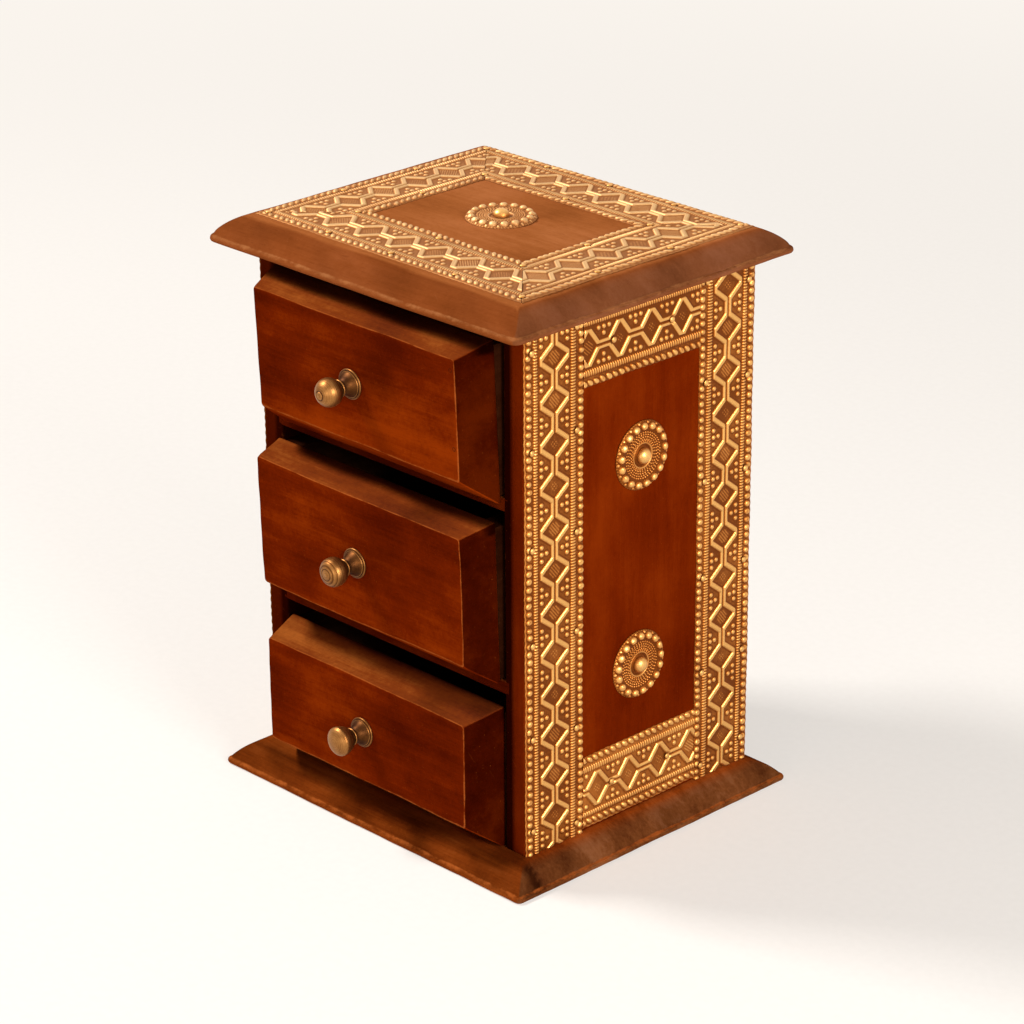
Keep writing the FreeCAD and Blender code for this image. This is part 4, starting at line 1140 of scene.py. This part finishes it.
def knob_foot():
    """The foot: a rounded flange, a groove, a thin ring, a cone that flares like a trumpet, and a collar."""
    def round_edge(radius, height, size, bright, count):
        return [(radius + size * np.cos(a), height + size * np.sin(a), 0.4 + bright * np.cos(a))
                for a in np.linspace(-np.pi / 2, np.pi / 2, count)]

    flange = round_edge(4.88, 0.45, 0.42, 0.35, 9)
    groove = [(4.72, 0.86, 0.1), (4.62, 0.8, 0.0)]
    ring = [(4.55, 0.95, 0.5), (4.5, 1.12, 0.8), (4.36, 1.2, 0.6), (4.24, 1.14, 0.1)]
    cone = [(2.35 + 1.85 * (1 - s) ** 0.8 * (1 - 0.12 * np.sin(np.pi * s)), 1.2 + 2.9 * s, 0.26 - 0.14 * s)
            for s in np.linspace(0, 1, 14)]
    neck = [(2.32, 4.3, 0.15), (2.34, 4.7, 0.05)]
    collar = round_edge(2.72, COLLAR_TOP - 0.4, 0.4, 0.4, 7)
    return [(0, 0, 0), (4.8, 0.0, 0.1)] + flange + groove + ring + cone + neck + collar


def knob_head(diameter, widest, tip, bluntness, rings):
    """The head: an ellipse out to the widest ring, then a blunter one to the tip, with its own rings."""
    radius = diameter / 2
    start = math.acos(4.8 / diameter)
    behind = (widest - COLLAR_TOP) / math.sin(start)
    turns, power = np.linspace(start, 0, 16), 2 / bluntness
    back = [(radius * math.cos(a), widest - behind * math.sin(a)) for a in turns]
    turns = np.linspace(0, np.pi / 2, 44)[1:]
    front = [(radius * math.cos(a) ** power, widest + (tip - widest) * math.sin(a) ** power) for a in turns]
    r, h = np.array(back + front).T
    cut = sum((depth * bell(r, place, width) for depth, place, width in rings), np.zeros_like(r))
    cut = cut * (h > widest)
    lathe = np.sin(np.arange(len(h)) * 2.1) + 0.6 * np.sin(np.arange(len(h)) * 1.3 + 2)
    h = h - cut
    bright = 0.35 + 0.4 * smooth((h + cut - 6.5) / 3) - 4 * np.clip(cut, 0, 1) + 0.07 * lathe
    r = r + 0.015 * lathe * (r > 1)
    r[-1] = 0
    return list(zip(r, h, bright))


# %% Knobs
KNOB_X, KNOB_DROP = -1.5, 0.8
for name, front in FRONTS.items():
    profile = np.array(knob_foot() + knob_head(*HEADS[name]))
    face_middle = (front["foot_bevel"] + front["height"] - TOP_BEVEL) / 2
    seat = on_front(front, KNOB_X, face_middle - KNOB_DROP, front["thick"])
    shape = copies(turned(profile[:, :2], 96, profile[:, 2]), [seat], straight_ahead(front))
    node = "drawer_%s_knob" % name
    make(node + "_turned", shape, node, "drawer_" + name, knob_brass, sharp=30)

# %% [markdown]
# ## Nails and brads
#
# The brads that hold the fronts are punched just below the stain, and all that shows is a dark spot with
# a soft rim. The nails of the base and the back have flat hammered heads. Both are turned like the pins.
# The screws that hold the knobs from inside the drawers keep their own shape and get the steel finish.

# %% Nails
NAIL_PROFILE = [(0, -26), (0.9, -26), (0.9, -1.0), (1.75, -1.0), (1.8, -0.5), (1.8, -0.05), (1.6, 0.03),
                (0.9, 0.06), (0, 0.07)]
BRAD_HEAD = [(0.7, -0.02), (0.64, 0.05), (0.45, -0.1), (0, -0.14)]
nail_shape = turned(NAIL_PROFILE, 20)
long_brad, short_brad = (turned([(0, -length), (0.7, -length)] + BRAD_HEAD, 16) for length in (24, 16))
NAIL_INSET, NAIL_END, NAIL_STEP = 4.5, 16, 32.3
nail_x = HALF_WIDTH - NAIL_INSET
nail_rows = np.linspace(-HALF_DEPTH + NAIL_END, HALF_DEPTH - 5 - NAIL_END, 3)
nail_heights = np.linspace(NAIL_STEP, TOP_Z - NAIL_STEP, 4)
NAILS = {
    "base_nails": ([(s * nail_x, y, 0) for s in (-1, 1) for y in nail_rows], (0, 0, -1)),
    "top_nails": ([(s * nail_x, y, TOP_Z) for s in (-1, 1) for y in nail_rows], (0, 0, 1)),
    "back_nails": ([(s * nail_x, HALF_DEPTH, z) for s in (-1, 1) for z in nail_heights], (0, 1, 0)),
}
for node, (places, axis) in NAILS.items():
    make(node + "_set", copies(nail_shape, places, axis), node, "carcass", steel)

# %% Brads and screws
for name, front in FRONTS.items():
    low, high = corners("drawer_%s_back" % name)
    heights = (low[2] - 0.05 + 13.0, high[2] - 6.0)
    x = HALF_FRONT - front["side_bevel"] - 1.4
    seats = [on_front(front, s * x, z - front["foot"][2], front["thick"]) for s in (-1, 1) for z in heights]
    shapes = [copies(long_brad, seats, straight_ahead(front))]
    for s in (-1, 1):
        shapes.append(copies(short_brad, [(s * HALF_FRONT, high[1] - 3, z) for z in heights], (s, 0, 0)))
    node = "drawer_%s_brads" % name
    make(node + "_set", joined(shapes), node, "drawer_" + name, wax)
    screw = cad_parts["drawer_%s_knob_screw" % name]
    screw.data.materials.clear()
    screw.data.materials.append(steel)

# %% [markdown]
# ## Floor, light and camera
#
# A plain pale floor and three broad soft lamps light the chest at a plain level: the strongest high at
# the front left, one at the right and a weak one low in front. The floor fades into the backdrop, so no
# hard line shows behind the chest.

# %% Floor
BACKDROP = (0.97, 0.92, 0.86)


def seen_by(shader, *kinds):
    """One where a ray of one of these kinds looks, such as a camera ray, and nought elsewhere."""
    seen = 0.0
    for kind in kinds:
        ray = shader.add("ShaderNodeLightPath", {}, {}, "Is %s Ray" % kind)
        seen = ray.math("MAXIMUM", seen, ray)
    return seen


def pale_floor():
    """A wide flat floor that keeps the chest's soft shadow."""
    s = Shader("pale_floor")
    colours = [(0.3, (0.88, 0.82, 0.75)), (0.7, (0.92, 0.86, 0.79))]
    s.finish(Base_Color=s.ramp(s.grains(3, 1.0, 3.0), colours), Roughness=0.9)
    glow = s.add("ShaderNodeEmission", {}, {"Color": BACKDROP, "Strength": 1.0})
    place = s.add("ShaderNodeTexCoord", {}, {}, "Object")
    away = s.add("ShaderNodeVectorMath", {"operation": "LENGTH"}, {0: place}, "Value").between(0.3, 1.3)
    share = seen_by(s, "Camera", "Glossy") * (0.55 + away * 0.45)
    look = s.add("ShaderNodeMixShader", {}, {0: share, 1: Value(s, s.surface.outputs[0]), 2: glow})
    s.feed(s.tree.nodes["Material Output"].inputs["Surface"], look)
    mesh = bpy.data.meshes.new("floor")
    mesh.from_pydata([(-4, -4, 0), (4, -4, 0), (4, 4, 0), (-4, 4, 0)], [], [(0, 1, 2, 3)])
    mesh.materials.append(s.material)
    floor = bpy.data.objects.new("floor", mesh)
    bpy.context.scene.collection.objects.link(floor)


pale_floor()


# %% Lamps and backdrop
def lamp(name, place, size, watts):
    """A square soft lamp at a place in metres, facing the chest."""
    light = bpy.data.lights.new(name, "AREA")
    light.size = size
    light.energy = watts
    lamp_object = bpy.data.objects.new(name, light)
    bpy.context.scene.collection.objects.link(lamp_object)
    way = Vector((0, 0, 0.1)) - Vector(place)
    lamp_object.matrix_world = Matrix.Translation(place) @ way.to_track_quat("-Z", "Y").to_matrix().to_4x4()
    print("lamp %-6s %4.1f W" % (name, watts))


class Room(Shader):
    """The world's node tree, written in the same way as a material's."""

    def __init__(self, name):
        world = bpy.data.worlds.new(name)
        bpy.context.scene.world = world
        world.use_nodes = True
        self.tree = world.node_tree


def soft_room():
    """Dim light from all round, and a plain pale backdrop where the camera or a shiny surface looks."""
    room = Room("soft_room")
    dim = room.tree.nodes["Background"]
    room.feed(dim.inputs["Color"], (0.9, 0.92, 1.0))
    room.feed(dim.inputs["Strength"], 0.2)
    pale = room.add("ShaderNodeBackground", {}, {"Color": BACKDROP, "Strength": 1.0})
    seen = seen_by(room, "Camera", "Transmission", "Glossy")
    choice = room.add("ShaderNodeMixShader", {}, {0: seen, 1: Value(room, dim.outputs[0]), 2: pale})
    room.feed(room.tree.nodes["World Output"].inputs["Surface"], choice)


lamp("key", (-0.88, -0.5, 1.25), 0.3, 24)
lamp("side", (1.26, -0.3, 0.62), 0.5, 17)
lamp("front", (0.5, -1.4, 0.2), 0.8, 6)
soft_room()

# %% [markdown]
# The camera stands well back with a long lens, turned and tipped as the eye that looks down at the
# chest's right front corner. Its three axes follow from its azimuth, its elevation and a slight roll.

# %% Camera
azimuth, elevation, roll = math.radians(45.93), math.radians(22.71), math.radians(-0.347)
level = math.cos(elevation)
back = np.array([math.sin(azimuth) * level, -math.cos(azimuth) * level, math.sin(elevation)])
right = np.cross([0, 0, 1], back)
right = right / np.linalg.norm(right)
upward = np.cross(back, right)
cosine, sine = math.cos(roll), math.sin(roll)
axes = np.array([cosine * right + sine * upward, cosine * upward - sine * right, back]).T
camera_data = bpy.data.cameras.new("camera")
camera_data.sensor_width = 36
camera_data.lens = 128.77
camera_data.clip_end = 20
camera = bpy.data.objects.new("camera", camera_data)
bpy.context.scene.collection.objects.link(camera)
camera.matrix_world = Matrix.Translation((0.8309, -0.8021, 0.5816)) @ Matrix(axes.tolist()).to_4x4()
bpy.context.scene.camera = camera
bpy.context.scene.view_settings.view_transform = "Standard"
print("camera at", [round(v, 4) for v in camera.location])

# %% [markdown]
